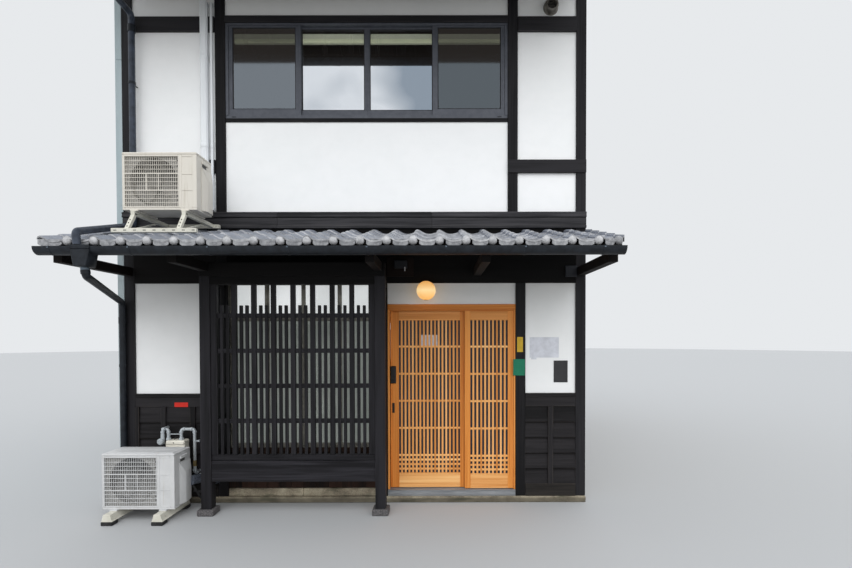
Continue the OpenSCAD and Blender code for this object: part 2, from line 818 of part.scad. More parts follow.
// Rafters of the pent roof
module pent_roof_rafters() {
    y0 = fascia_y + fascia_t;
    pitch = (house_w - rafter_w) / (rafter_count - 1);
    color([0.24, 0.18, 0.14])
        for (i = [0 : rafter_count - 1])
            drawn(-half_w + i * pitch, -half_w + i * pitch + rafter_w,
                [[y0, pent_z(y0) - board_t - rafter_h], [0, pent_seat_z - board_t - rafter_h],
                    [0, pent_seat_z - board_t - seat], [y0, pent_z(y0) - board_t - seat]]);
}

// Boards on the rafters, with the fascia along the eave
module pent_roof_boards() {
    drop_z = pent_z(fascia_y) - board_t - rafter_h - fascia_drop;
    edge_y = fascia_y + fascia_t;
    color([0.28, 0.21, 0.16]) {
        drawn(-half_w, half_w, [[0, pent_seat_z - board_t], [0, pent_seat_z], [fascia_y, pent_z(fascia_y)],
            [fascia_y, pent_z(fascia_y) - board_t]]);
        drawn(-half_w, half_w, [[fascia_y, drop_z], [edge_y, drop_z],
            [edge_y, pent_z(edge_y) - board_t - seat], [fascia_y, pent_z(fascia_y) - board_t - seat]]);
    }
}

// Rolls of tiles in line up a slope, from y0 to y1, on pans whose height at y0 is foot_z
module tile_rolls(first_x, count, y0, y1, foot_z, angle) {
    top_z = roll_h * cos(angle);
    foot_x = roll_w / 2;
    top_x = roll_w / 4;
    sunk = 1;
    for (i = [0 : count - 1])
        translate([first_x + i * tile_pitch, y0, foot_z]) rotate([angle - 90, 0, 0])
            linear_extrude((y1 - y0) / cos(angle))
                polygon([[-foot_x, sunk], [foot_x, sunk], [foot_x, 0], [top_x, -top_z], [-top_x, -top_z],
                    [-foot_x, 0]]);
}

// How many rolls fit on a roof between two edges, the first one at first_x
function roll_count(first_x, x1) = floor((x1 - first_x - roll_w / 2) / tile_pitch) + 1;

// How far the rolls end behind a tile layer's front and back edge
roll_end = 24;

// Tile layer of the pent roof with its rolls, its eave tiles hanging over the boards' edge
module pent_roof_tiles() {
    lip_y = -pent_reach + 22;
    pan_t = tile_t - roll_h;
    first_x = -half_w + first_roll;
    y0 = -pent_reach + roll_end;
    color([0.56, 0.57, 0.60]) union() {
        drawn(-half_w, half_w, [[0, pent_seat_z], [0, pent_seat_z + pan_t],
            [-pent_reach, pent_z(-pent_reach) + pan_t], [-pent_reach, pent_z(-pent_reach) - tile_drop],
            [lip_y, pent_z(-pent_reach) - tile_drop], [lip_y, pent_z(lip_y)]]);
        tile_rolls(first_x, roll_count(first_x, half_w), y0, -seat, pent_z(y0) + pan_t, pent_angle);
    }
}

// Half-round gutter between x0 and x1, its back edge at y and its rim at height z
module gutter(x0, x1, y, z) {
    translate([x0, y - gutter_r, z]) rotate([90, 0, 90]) linear_extrude(x1 - x0)
        intersection() {
            difference() {
                circle(r = gutter_r, $fn = round_n);
                circle(r = gutter_r - gutter_t, $fn = round_n);
            }
            translate([-gutter_r, -gutter_r]) square([2 * gutter_r, gutter_r]);
        }
}

rim_drop = 21;
pent_rim_z = pent_z(-pent_reach) - tile_drop - rim_drop;
main_rim_z = main_z(main_fascia_y) - rim_drop;

// Gutters of the pent roof and of the front main eave
module gutters() {
    color([0.15, 0.18, 0.22]) {
        gutter(-half_w - gutter_over[0], half_w + gutter_over[1], fascia_y - seat, pent_rim_z);
        gutter(main_roof_x0, half_w, main_fascia_y - seat, main_rim_z);
    }
}

upper_pipe_x = -end_x + post_w / 2 + upper_pipe_d / 2 + 14;
lower_pipe_x = -half_w;
collector_x = -end_x + collector_off;
gutter_mid_y = fascia_y - seat - gutter_r;
main_gutter_mid_y = main_fascia_y - seat - gutter_r;

// Downpipe from the main gutter over the pent roof, where a saddle on the first roll carries it, and
// the one from its collector to the ground
module downpipes() {
    upper_y = -flashing_t - seat - socket_t - upper_pipe_d / 2;
    lower_y = -seat - socket_t - pipe_d / 2;
    over_tiles = tile_t + (upper_pipe_d / 2 + socket_t + seat) / cos(pent_angle);
    bend_x = collector_x - 60;
    bend_y = -pent_reach - upper_pipe_d / 2 - 6;
    top_w = 162;
    foot_w = 102;
    box_y = gutter_mid_y - gutter_r - 8;
    box_d = 127;
    box_top_z = pent_rim_z + 12;
    box_z = pent_rim_z - 157;
    elbow_z = box_z - 70;
    wall_z = elbow_z - 144;
    saddle_x = -half_w + first_roll;
    saddle_y = upper_y + (saddle_x - upper_pipe_x) / (bend_x - upper_pipe_x) * (bend_y - upper_y);
    saddle_half = 15;
    saddle_z = pent_z(saddle_y) + over_tiles;
    color([0.17, 0.19, 0.22]) {
        union() {
            pipe([[upper_pipe_x, main_gutter_mid_y, main_rim_z - gutter_r - upper_pipe_d / 2],
                [upper_pipe_x, upper_y, header_z + 41],
                [upper_pipe_x, upper_y, pent_z(upper_y) + over_tiles],
                [bend_x, bend_y, pent_z(bend_y) + over_tiles],
                [bend_x + 10, bend_y, pent_rim_z + 20]], upper_pipe_d);
            drawn(saddle_x - saddle_half, saddle_x + saddle_half,
                [[saddle_y - saddle_half, pent_z(saddle_y - saddle_half) + tile_t + seat],
                    [saddle_y + saddle_half, pent_z(saddle_y + saddle_half) + tile_t + seat],
                    [saddle_y + saddle_half, saddle_z], [saddle_y - saddle_half, saddle_z]]);
        }
        union() {
            difference() {
                translate([collector_x, box_y + box_d, 0]) rotate([90, 0, 0]) linear_extrude(box_d)
                    polygon([[-foot_w / 2, box_z], [foot_w / 2, box_z], [top_w / 2, box_top_z],
                        [-top_w / 2, box_top_z]]);
                rod([collector_x - top_w, gutter_mid_y, pent_rim_z],
                    [collector_x + top_w, gutter_mid_y, pent_rim_z], 2 * (gutter_r + seat));
                block(collector_x - top_w, collector_x + top_w, gutter_mid_y - gutter_r - seat,
                    box_y + box_d + 1, pent_rim_z, box_top_z + 1);
            }
            pipe([[collector_x - 5, gutter_mid_y, box_z + 5], [collector_x + 5, gutter_mid_y, elbow_z],
                [lower_pipe_x, lower_y, wall_z], [lower_pipe_x, lower_y, slab_h + 40]], pipe_d);
        }
    }
}

ridge_beam_z0 = main_z(ridge_y - ridge_beam_w / 2) - 60;

// Party walls up to the roof, one each side, notched for the ridge beam
module party_walls() {
    y0 = ridge_y - ridge_beam_w / 2;
    y1 = ridge_y + ridge_beam_w / 2;
    eaves = main_z(post_w) - seat;
    top = main_z(y0) - seat;
    notch = ridge_beam_z0 - seat;
    color([0.42, 0.38, 0.34])
        for (x = [-half_w, half_w - post_w])
            drawn(x, x + post_w, [[post_w, slab_h], [back_y, slab_h], [back_y, eaves], [y1, top],
                [y1, notch], [y0, notch], [y0, top], [post_w, eaves]]);
}

// Depth of the beams over and under the back windows
back_beam_h = 80;

// Posts and beams of the back wall, joined into one frame
module back_frame() {
    color([0.16, 0.16, 0.17]) union() {
        for (x = [-end_x, back_x0 - post_w / 2, back_x1 + post_w / 2, end_x])
            block(x - post_w / 2, x + post_w / 2, back_y, house_d, slab_h, plate_z);
        block(-end_x, end_x, back_y, house_d, girder_z, upper_z);
        for (z = [[back_lower_z1, back_lower_z1 + back_beam_h], [panel_z - back_beam_h, panel_z],
                [upper_sill_z - back_beam_h, upper_sill_z], [header_z, header_z + back_beam_h]])
            block(back_x0, back_x1, back_y, house_d, z[0], z[1]);
    }
}

// Plaster of the back wall, round the two windows
module back_panels() {
    y0 = back_y + 10;
    y1 = house_d - plaster_recess;
    color([0.90, 0.91, 0.90]) {
        for (z = [[slab_h, girder_z], [upper_z, plate_z]]) {
            block(-end_x + post_w / 2, back_x0 - post_w, y0, y1, z[0], z[1]);
            block(back_x1 + post_w, end_x - post_w / 2, y0, y1, z[0], z[1]);
        }
        for (z = [[slab_h, panel_z - back_beam_h], [back_lower_z1 + back_beam_h, girder_z],
                [upper_z, upper_sill_z - back_beam_h], [header_z + back_beam_h, plate_z]])
            block(back_x0, back_x1, y0, y1, z[0], z[1]);
    }
}

// Floor of the upper storey
module upper_floor() {
    color([0.55, 0.42, 0.28])
        block(-inner_x, inner_x, post_w, back_y, floor_top_z - floor_t, floor_top_z);
}

// Outline of one roof slope as a layer from the low line to the high line above the underside
function slope_layer(y0, y1, low, high) = [[y0, main_z(y0) + low], [y1, main_z(y1) + low],
    [y1, main_z(y1) + high], [y0, main_z(y0) + high]];

// A front layer and its mirror image at the back
module both_slopes(points) {
    drawn(main_roof_x0, half_w, points);
    translate([0, house_d, 0]) mirror([0, 1, 0]) drawn(main_roof_x0, half_w, points);
}

// Rafters and boards of the main roof
module main_roof_boards() {
    color([0.28, 0.21, 0.16])
        both_slopes(slope_layer(main_fascia_y, ridge_y - ridge_beam_w / 2, 0, main_roof_t));
}

// Tile layer of one slope of the main roof, with its rolls
module main_tile_slope() {
    y0 = -eave_reach - main_tile_over;
    y1 = ridge_y - ridge_w / 2;
    pan_h = main_roof_t + tile_t - roll_h;
    last_roll = 60;
    count = roll_count(main_roof_x0 + roll_w / 2, half_w - last_roll + roll_w / 2);
    first_x = half_w - last_roll - (count - 1) * tile_pitch;
    union() {
        drawn(main_roof_x0, half_w, slope_layer(y0, y1, main_roof_t, pan_h));
        tile_rolls(first_x, count, y0 + roll_end, y1 - roll_end, main_z(y0 + roll_end) + pan_h, main_angle);
    }
}

// Tile layers of the main roof
module main_roof_tiles() {
    color([0.54, 0.55, 0.58]) {
        main_tile_slope();
        translate([0, house_d, 0]) mirror([0, 1, 0]) main_tile_slope();
    }
}

// Ridge beam with the ridge tiles on it
module roof_ridge() {
    y0 = ridge_y - ridge_w / 2;
    y1 = ridge_y + ridge_w / 2;
    peak_z = main_z(ridge_y) + main_roof_t + seat;
    seat_z = main_z(y0) + main_roof_t + seat;
    shoulder = 50;
    cap_half = 45;
    color([0.52, 0.53, 0.56]) union() {
        block(-half_w, half_w, ridge_y - ridge_beam_w / 2, ridge_y + ridge_beam_w / 2,
            ridge_beam_z0, seat_z + 1);
        drawn(main_roof_x0, half_w, [[y0, seat_z], [ridge_y, peak_z], [y1, seat_z],
            [y1, seat_z + ridge_h - shoulder], [ridge_y + cap_half, seat_z + ridge_h],
            [ridge_y - cap_half, seat_z + ridge_h], [y0, seat_z + ridge_h - shoulder]]);
    }
}

// One outdoor unit: the case on two feet, and the valve cover on its right side
module outdoor_unit(x, y, z) {
    color([0.83, 0.82, 0.79]) union() {
        block(x - unit_w / 2, x + unit_w / 2, y, y + unit_d, z, z + unit_h);
        block(x + unit_w / 2, x + unit_w / 2 + valve_w, y + 110, y + unit_d - valve_end,
            z + 40, z + unit_h - 75);
        for (foot_x = [x - foot_pitch / 2, x + foot_pitch / 2])
            block(foot_x - unit_foot_w / 2, foot_x + unit_foot_w / 2, y - 8, y + unit_d + 18,
                z - unit_foot_h, z);
    }
}

// Outdoor units on the pent roof and on the ground
module outdoor_units() {
    outdoor_unit(upper_unit_x, upper_unit_y, upper_unit_z);
    outdoor_unit(lower_unit_x, lower_unit_y, block_h + unit_foot_h);
}

stand_front_y = upper_unit_y - 120;
stand_back_y = upper_unit_y + unit_d + 245;
stand_top_z = upper_unit_z - unit_foot_h;

// Height of a stand's base rail that rests on the tiles at depth y
function rail_base_z(y) = pent_z(y) + tile_t + seat;

// Steel stand on the pent roof, and the two blocks under the lower unit
module unit_stands() {
    rail_y = stand_tube / 2;
    lean = 12;
    block_over = 100;
    block_len = unit_d + 210;
    block_w = 100;
    top_w = 60;
    color([0.80, 0.79, 0.74]) union() {
        for (y = [stand_front_y, stand_back_y])
            block(upper_unit_x - stand_reach[0], upper_unit_x + stand_reach[1], y - rail_y, y + rail_y,
                rail_base_z(y + rail_y), rail_base_z(y + rail_y) + stand_tube);
        for (x = [upper_unit_x - foot_pitch / 2, upper_unit_x + foot_pitch / 2]) {
            x0 = x - stand_tube / 2;
            x1 = x + stand_tube / 2;
            drawn(x0, x1, [[stand_front_y - lean, rail_base_z(stand_front_y) + stand_tube / 2],
                [stand_front_y + 2 * lean, rail_base_z(stand_front_y) + stand_tube / 2],
                [upper_unit_y + 2 * lean, stand_top_z - stand_tube / 2],
                [upper_unit_y - lean, stand_top_z - stand_tube / 2]]);
            block(x0, x1, upper_unit_y - 2 * lean, stand_back_y + rail_y, stand_top_z - stand_tube,
                stand_top_z);
            block(x0, x1, stand_back_y - rail_y, stand_back_y + rail_y,
                rail_base_z(stand_back_y) + stand_tube / 2, stand_top_z - stand_tube / 2);
        }
    }
    color([0.86, 0.84, 0.74])
        for (x = [lower_unit_x - foot_pitch / 2, lower_unit_x + foot_pitch / 2])
            translate([x, lower_unit_y - block_over + block_len, 0]) rotate([90, 0, 0])
                linear_extrude(block_len)
                    polygon([[-block_w / 2, 0], [block_w / 2, 0], [block_w / 2, 12],
                        [block_w / 2 - 12, 18], [top_w / 2, block_h], [-top_w / 2, block_h],
                        [12 - block_w / 2, 18], [-block_w / 2, 12]]);
}

// Gas meter on the wainscot behind the lower unit, with its inlet elbow and the riser beside it
module gas_meter() {
    meter_w = 190;
    meter_y0 = -150;
    meter_y1 = -40;
    meter_z1 = panel_z - 396;
    pipe_top_z = meter_z1 + 78;
    pipe_y = (meter_y0 + meter_y1) / 2;
    wall_y = 3.7;
    gas_d = 30;
    color([0.80, 0.78, 0.72]) union() {
        block(meter_x - meter_w / 2, meter_x + meter_w / 2, meter_y0, meter_y1, meter_z1 - 270, meter_z1);
        pipe([[meter_x - 60, pipe_y, meter_z1 - 12], [meter_x - 60, pipe_y, pipe_top_z],
            [meter_x - 60, wall_y, pipe_top_z]], gas_d);
        pipe([[meter_x + 60, pipe_y, meter_z1 - 12], [meter_x + 60, pipe_y, pipe_top_z],
            [riser_x, pipe_y, pipe_top_z], [riser_x, pipe_y, 330], [riser_x, wall_y, 330]], gas_d);
        block(meter_x - 60, meter_x + 60, meter_y1 - 5, wall_y, meter_z1 - 212, meter_z1 - 152);
    }
}

// White ducts of the cooling lines: two down the upper storey, and the wrapped line of the lower unit
module wall_ducts() {
    duct_z0 = upper_z + 20;
    duct_z1 = band_z + 118;
    clip_h = 30;
    wide = [window_post_x - 145, 36];
    slim = [window_post_x - post_w / 2 - 26, 12];
    line_x = lower_unit_x + unit_w / 2 + valve_w / 2;
    line_y = lower_unit_y + unit_d - valve_end + seat;
    line_z = block_h + 200;
    wall_y = 9.7;
    color([0.90, 0.90, 0.88]) {
        for (d = [wide, slim])
            union() {
                block(d[0] - d[1], d[0] + d[1], -face_beam_t - d[1], -face_beam_t, duct_z0, duct_z1);
                for (z = [duct_z0, duct_z1 - clip_h])
                    block(d[0] - d[1], d[0] + d[1], -face_beam_t - 1, plaster_y, z, z + clip_h);
            }
        rod([line_x, line_y, line_z], [line_x, wall_y, line_z], 38);
    }
}

// Round lamp over the entrance
module entrance_lamp() {
    lamp_x = (door_left_x + door_right_x) / 2 - 255;
    lamp_z = (lintel_top_z + head_z) / 2 + 22;
    lamp_r = 95;
    base_r = 50;
    base_h = 60;
    color([0.98, 0.90, 0.72]) union() {
        translate([lamp_x, -lamp_r - 5, lamp_z]) sphere(r = lamp_r, $fn = round_n);
        translate([lamp_x, plaster_y, lamp_z]) rotate([90, 0, 0])
            cylinder(h = base_h, r = base_r, $fn = round_n);
    }
}

// Round vent hood high in the right bay
module vent_hood() {
    hood_off = 308;
    hood_r = 75;
    hood_t = 80;
    color([0.45, 0.43, 0.40])
        translate([end_x - hood_off, plaster_y, band_z + 83]) rotate([90, 0, 0])
            cylinder(h = hood_t, r = hood_r, $fn = round_n);
}

ground_slab();
front_posts();
storey_beams();
flashing_boards();
upper_beams();
side_cladding();
lower_plaster();
wainscot();
upper_plaster();
window_frames();
window_glass();
bay_window_frame();
bay_dado();
bay_posts();
bay_stones();
bay_head();
bay_sill_boards();
bay_front_lattice();
bay_side_lattices();
door_frame();
door_threshold();
sliding_leaf();
sliding_leaf_glass();
door_lock();
fixed_leaf();
fixed_leaf_glass();
pent_roof_arms();
pent_roof_rafters();
pent_roof_boards();
pent_roof_tiles();
gutters();
downpipes();
party_walls();
back_frame();
back_panels();
upper_floor();
main_roof_boards();
main_roof_tiles();
roof_ridge();
outdoor_units();
unit_stands();
gas_meter();
wall_ducts();
entrance_lamp();
vent_hood();
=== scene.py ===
"""A timber townhouse in a row: black lattice bay, sliding entrance door and a tiled pent roof.

Lengths are in millimetres while a piece is put together and in metres once it is in place.
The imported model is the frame, and every piece is set out from its nodes' boxes.
"""

import json
import math
import random

import bmesh
import bpy
from mathutils import Matrix, Vector

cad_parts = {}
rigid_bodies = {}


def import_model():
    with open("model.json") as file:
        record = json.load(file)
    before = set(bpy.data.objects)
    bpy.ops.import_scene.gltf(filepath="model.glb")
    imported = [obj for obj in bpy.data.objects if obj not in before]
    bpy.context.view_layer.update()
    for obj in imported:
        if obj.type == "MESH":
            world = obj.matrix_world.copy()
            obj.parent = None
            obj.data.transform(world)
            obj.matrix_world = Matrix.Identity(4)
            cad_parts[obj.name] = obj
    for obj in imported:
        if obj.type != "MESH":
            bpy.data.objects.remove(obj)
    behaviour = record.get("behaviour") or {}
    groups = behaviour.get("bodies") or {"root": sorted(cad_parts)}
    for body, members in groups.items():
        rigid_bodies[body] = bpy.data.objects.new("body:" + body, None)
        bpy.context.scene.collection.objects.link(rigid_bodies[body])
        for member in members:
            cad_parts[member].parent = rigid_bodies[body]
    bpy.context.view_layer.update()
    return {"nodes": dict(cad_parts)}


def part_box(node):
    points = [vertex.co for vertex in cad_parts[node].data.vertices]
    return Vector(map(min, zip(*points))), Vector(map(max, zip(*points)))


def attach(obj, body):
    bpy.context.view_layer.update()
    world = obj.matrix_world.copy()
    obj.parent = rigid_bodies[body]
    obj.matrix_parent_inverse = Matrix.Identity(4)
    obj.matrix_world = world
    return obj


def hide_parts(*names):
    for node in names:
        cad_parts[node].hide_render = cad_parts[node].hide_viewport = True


for leftover in list(bpy.data.objects):
    bpy.data.objects.remove(leftover)
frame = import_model()

# Studio: a plain pale floor under a plain pale sky, which lights the house softly from all
# round, with one wide lamp high in front. The camera stands where the photograph was taken.
# None of this is part of the house.
scene = bpy.context.scene
scene.view_settings.view_transform = "Standard"
IMAGE_W = 852
FOCAL_PX = 490.0
CENTRE_PX = (439.14, 343.13)
IMAGE_MID = (426.0, 284.0)
PITCH, ROLL, YAW = math.radians(0.95), math.radians(-0.10), math.radians(-0.10)
EYE = Vector((0.840, -4.970, 1.700))

camera = bpy.data.objects.new("camera", bpy.data.cameras.new("camera"))
scene.collection.objects.link(camera)
scene.camera = camera
camera.data.sensor_width = 36.0
camera.data.lens = 36.0 * FOCAL_PX / IMAGE_W
camera.data.shift_x = -(CENTRE_PX[0] - IMAGE_MID[0]) / IMAGE_W
camera.data.shift_y = (CENTRE_PX[1] - IMAGE_MID[1]) / IMAGE_W
camera.data.clip_start = 0.05
camera.data.clip_end = 200.0
right = Vector((math.cos(YAW), math.sin(YAW), 0))
ahead = Vector((-math.sin(YAW) * math.cos(PITCH), math.cos(YAW) * math.cos(PITCH), -math.sin(PITCH)))
up = right.cross(ahead)
right, up = right * math.cos(ROLL) + up * math.sin(ROLL), up * math.cos(ROLL) - right * math.sin(ROLL)
camera.matrix_world = Matrix.Translation(EYE) @ Matrix((right, up, -ahead)).transposed().to_4x4()

sky = bpy.data.worlds.new("sky")
scene.world = sky
sky.use_nodes = True
sky_nodes, sky_links = sky.node_tree.nodes, sky.node_tree.links


def seen_rays(tree):
    """1 for the rays that look at the studio itself, in a mirror or through glass."""
    rays = tree.nodes.new("ShaderNodeLightPath")
    shown = rays.outputs["Is Camera Ray"]
    for other in ("Is Glossy Ray", "Is Transmission Ray"):
        either = tree.nodes.new("ShaderNodeMath")
        either.operation = "MAXIMUM"
        tree.links.new(shown, either.inputs[0])
        tree.links.new(rays.outputs[other], either.inputs[1])
        shown = either.outputs[0]
    return shown


daylight = sky_nodes["Background"]
daylight.inputs["Color"].default_value = (0.96, 0.98, 1.0, 1)
daylight.inputs["Strength"].default_value = 1.21
backdrop = sky_nodes.new("ShaderNodeBackground")
backdrop.inputs["Color"].default_value = (0.80, 0.82, 0.84, 1)
pick = sky_nodes.new("ShaderNodeMixShader")
sky_links.new(seen_rays(sky.node_tree), pick.inputs[0])
sky_links.new(daylight.outputs[0], pick.inputs[1])
sky_links.new(backdrop.outputs[0], pick.inputs[2])
sky_links.new(pick.outputs[0], sky_nodes["World Output"].inputs["Surface"])

lamp = bpy.data.objects.new("high_lamp", bpy.data.lights.new("high_lamp", "SUN"))
lamp.data.energy = 1.38
lamp.data.angle = math.radians(60)
lamp.rotation_euler = (math.radians(52), 0, math.radians(8))
lamp.visible_glossy = False
scene.collection.objects.link(lamp)

floor_mesh = bmesh.new()
bmesh.ops.create_circle(floor_mesh, cap_ends=True, segments=96, radius=60.0)
floor_data = bpy.data.meshes.new("studio_floor")
floor_mesh.to_mesh(floor_data)
floor_mesh.free()
studio_floor = bpy.data.objects.new("studio_floor", floor_data)
scene.collection.objects.link(studio_floor)
floor_finish = bpy.data.materials.new("studio_floor")
floor_finish.use_nodes = True
floor_surface = floor_finish.node_tree.nodes["Principled BSDF"]
floor_surface.inputs["Roughness"].default_value = 0.9
floor_mix = floor_finish.node_tree.nodes.new("ShaderNodeMix")
floor_mix.data_type = "RGBA"
floor_mix.inputs[6].default_value = (0.30, 0.293, 0.275, 1)
floor_mix.inputs[7].default_value = (0.43, 0.44, 0.45, 1)
floor_finish.node_tree.links.new(seen_rays(floor_finish.node_tree), floor_mix.inputs[0])
floor_finish.node_tree.links.new(floor_mix.outputs[2], floor_surface.inputs["Base Color"])
floor_data.materials.append(floor_finish)

# Foundation: the concrete that the frame stands on and the curb under the bay window, cast in
# place, rubbed with cement and stained by splashes and a little moss.
DRAWS = random.Random(7)


def shade(red, green, blue):
    """A colour as seen on a screen, 0 to 255, as the linear colour that a shader takes."""
    shares = [c / 255 for c in (red, green, blue)]
    return tuple(((s + 0.055) / 1.055) ** 2.4 if s > 10 / 255 else s / 12.92 for s in shares) + (1,)


def span(node):
    """Edges of a node's box in millimetres: left, right, front, back, bottom, top."""
    low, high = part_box(node)
    return tuple(round(1000 * v, 1) for v in (low.x, high.x, low.y, high.y, low.z, high.z))


class Value:
    """Something that changes over a surface. Sums and products of it add their Math nodes."""

    def __init__(self, finish, socket):
        self.finish, self.socket = finish, socket

    def sum(self, operation, first, second=0.0):
        return self.finish.node("ShaderNodeMath", {"operation": operation}, {0: first, 1: second})

    def __add__(self, other):
        return self.sum("ADD", self, other)

    def __sub__(self, other):
        return self.sum("SUBTRACT", self, other)

    def __rsub__(self, other):
        return self.sum("SUBTRACT", other, self)

    def __mul__(self, other):
        return self.sum("MULTIPLY", self, other)

    __radd__, __rmul__ = __add__, __mul__

    def rise(self, low, high):
        """0 at low and 1 at high, with a soft change between. Low may be the larger of the two."""
        if low > high:
            return 1.0 - self.rise(high, low)
        inputs = {"Value": self, "From Min": low, "From Max": high}
        return self.finish.node("ShaderNodeMapRange", {"interpolation_type": "SMOOTHSTEP"}, inputs)

    def size(self):
        return self.sum("ABSOLUTE", self)


class Finish:
    """One surface finish: a material, with the nodes that its description asks for."""

    def __init__(self, name, **constants):
        self.material = bpy.data.materials.new(name)
        self.material.use_nodes = True
        self.tree = self.material.node_tree
        self.surface = self.tree.nodes["Principled BSDF"]
        for socket, value in constants.items():
            self.surface.inputs[socket.replace("_", " ")].default_value = value

    def node(self, kind, settings=None, inputs=None, output=0):
        """Adds a node with its settings and inputs, of which stops are those of a colour ramp."""
        made = self.tree.nodes.new(kind)
        for key, value in (settings or {}).items():
            if key == "stops":
                for stop in value[2:]:
                    made.color_ramp.elements.new(stop[0])
                for element, stop in zip(made.color_ramp.elements, value):
                    element.position, element.color = stop
            else:
                setattr(made, key, value)
        for key, value in (inputs or {}).items():
            if isinstance(value, Value):
                self.tree.links.new(value.socket, made.inputs[key])
            else:
                made.inputs[key].default_value = value
        return Value(self, made.outputs[output])

    def place(self):
        """Where a point is on the object, in metres."""
        return self.node("ShaderNodeTexCoord", output="Object")

    def own(self, name):
        return self.node("ShaderNodeAttribute", {"attribute_name": name}, output="Vector")

    def tone(self):
        """A number from 0 to 1 that differs from board to board."""
        return self.node("ShaderNodeAttribute", {"attribute_name": "tone"}, output="Fac")

    def along(self):
        """Where a point is on its own board: x along it, y and z across it, elsewhere for each board."""
        moved = self.vector(self.tone() * 37.0, self.tone() * 19.0, 0.0)
        return self.node("ShaderNodeVectorMath", {"operation": "ADD"}, {0: self.own("grain"), 1: moved})

    def vector(self, x, y, z):
        return self.node("ShaderNodeCombineXYZ", inputs={0: x, 1: y, 2: z})

    def part(self, vector, axis):
        return self.node("ShaderNodeSeparateXYZ", inputs={0: vector}, output=axis)

    def stretch(self, vector, scale):
        return self.node("ShaderNodeVectorMath", {"operation": "MULTIPLY"}, {0: vector, 1: scale})

    def noise(self, vector, scale=1.0, detail=3.0, roughness=0.55, distortion=0.0):
        inputs = {"Vector": vector, "Scale": scale, "Detail": detail, "Roughness": roughness}
        return self.node("ShaderNodeTexNoise", inputs={**inputs, "Distortion": distortion})

    def graded(self, value, *stops):
        return self.node("ShaderNodeValToRGB", {"stops": stops}, {0: value})

    def blend(self, share, first, second, how="MIX"):
        settings = {"data_type": "RGBA", "blend_type": how}
        return self.node("ShaderNodeMix", settings, {0: share, 6: first, 7: second}, output=2)

    def edge(self, width):
        """1 on the outer few millimetres of a board's long edges, where it wears, and 0 elsewhere."""
        own, half = self.own("grain"), self.own("half")
        near = [(self.part(half, axis) - self.part(own, axis).size()).rise(width, 0.0) for axis in (1, 2)]
        return near[0] * near[1]

    def put(self, socket, value):
        self.tree.links.new(value.socket, self.surface.inputs[socket])

    def glow(self, colour, strength):
        self.put("Emission Color", colour)
        self.surface.inputs["Emission Strength"].default_value = strength

    def relief(self, height, depth):
        """Raises the surface by depth metres where height is 1."""
        inputs = {"Strength": 1.0, "Distance": depth, "Height": height}
        self.put("Normal", self.node("ShaderNodeBump", {}, inputs))


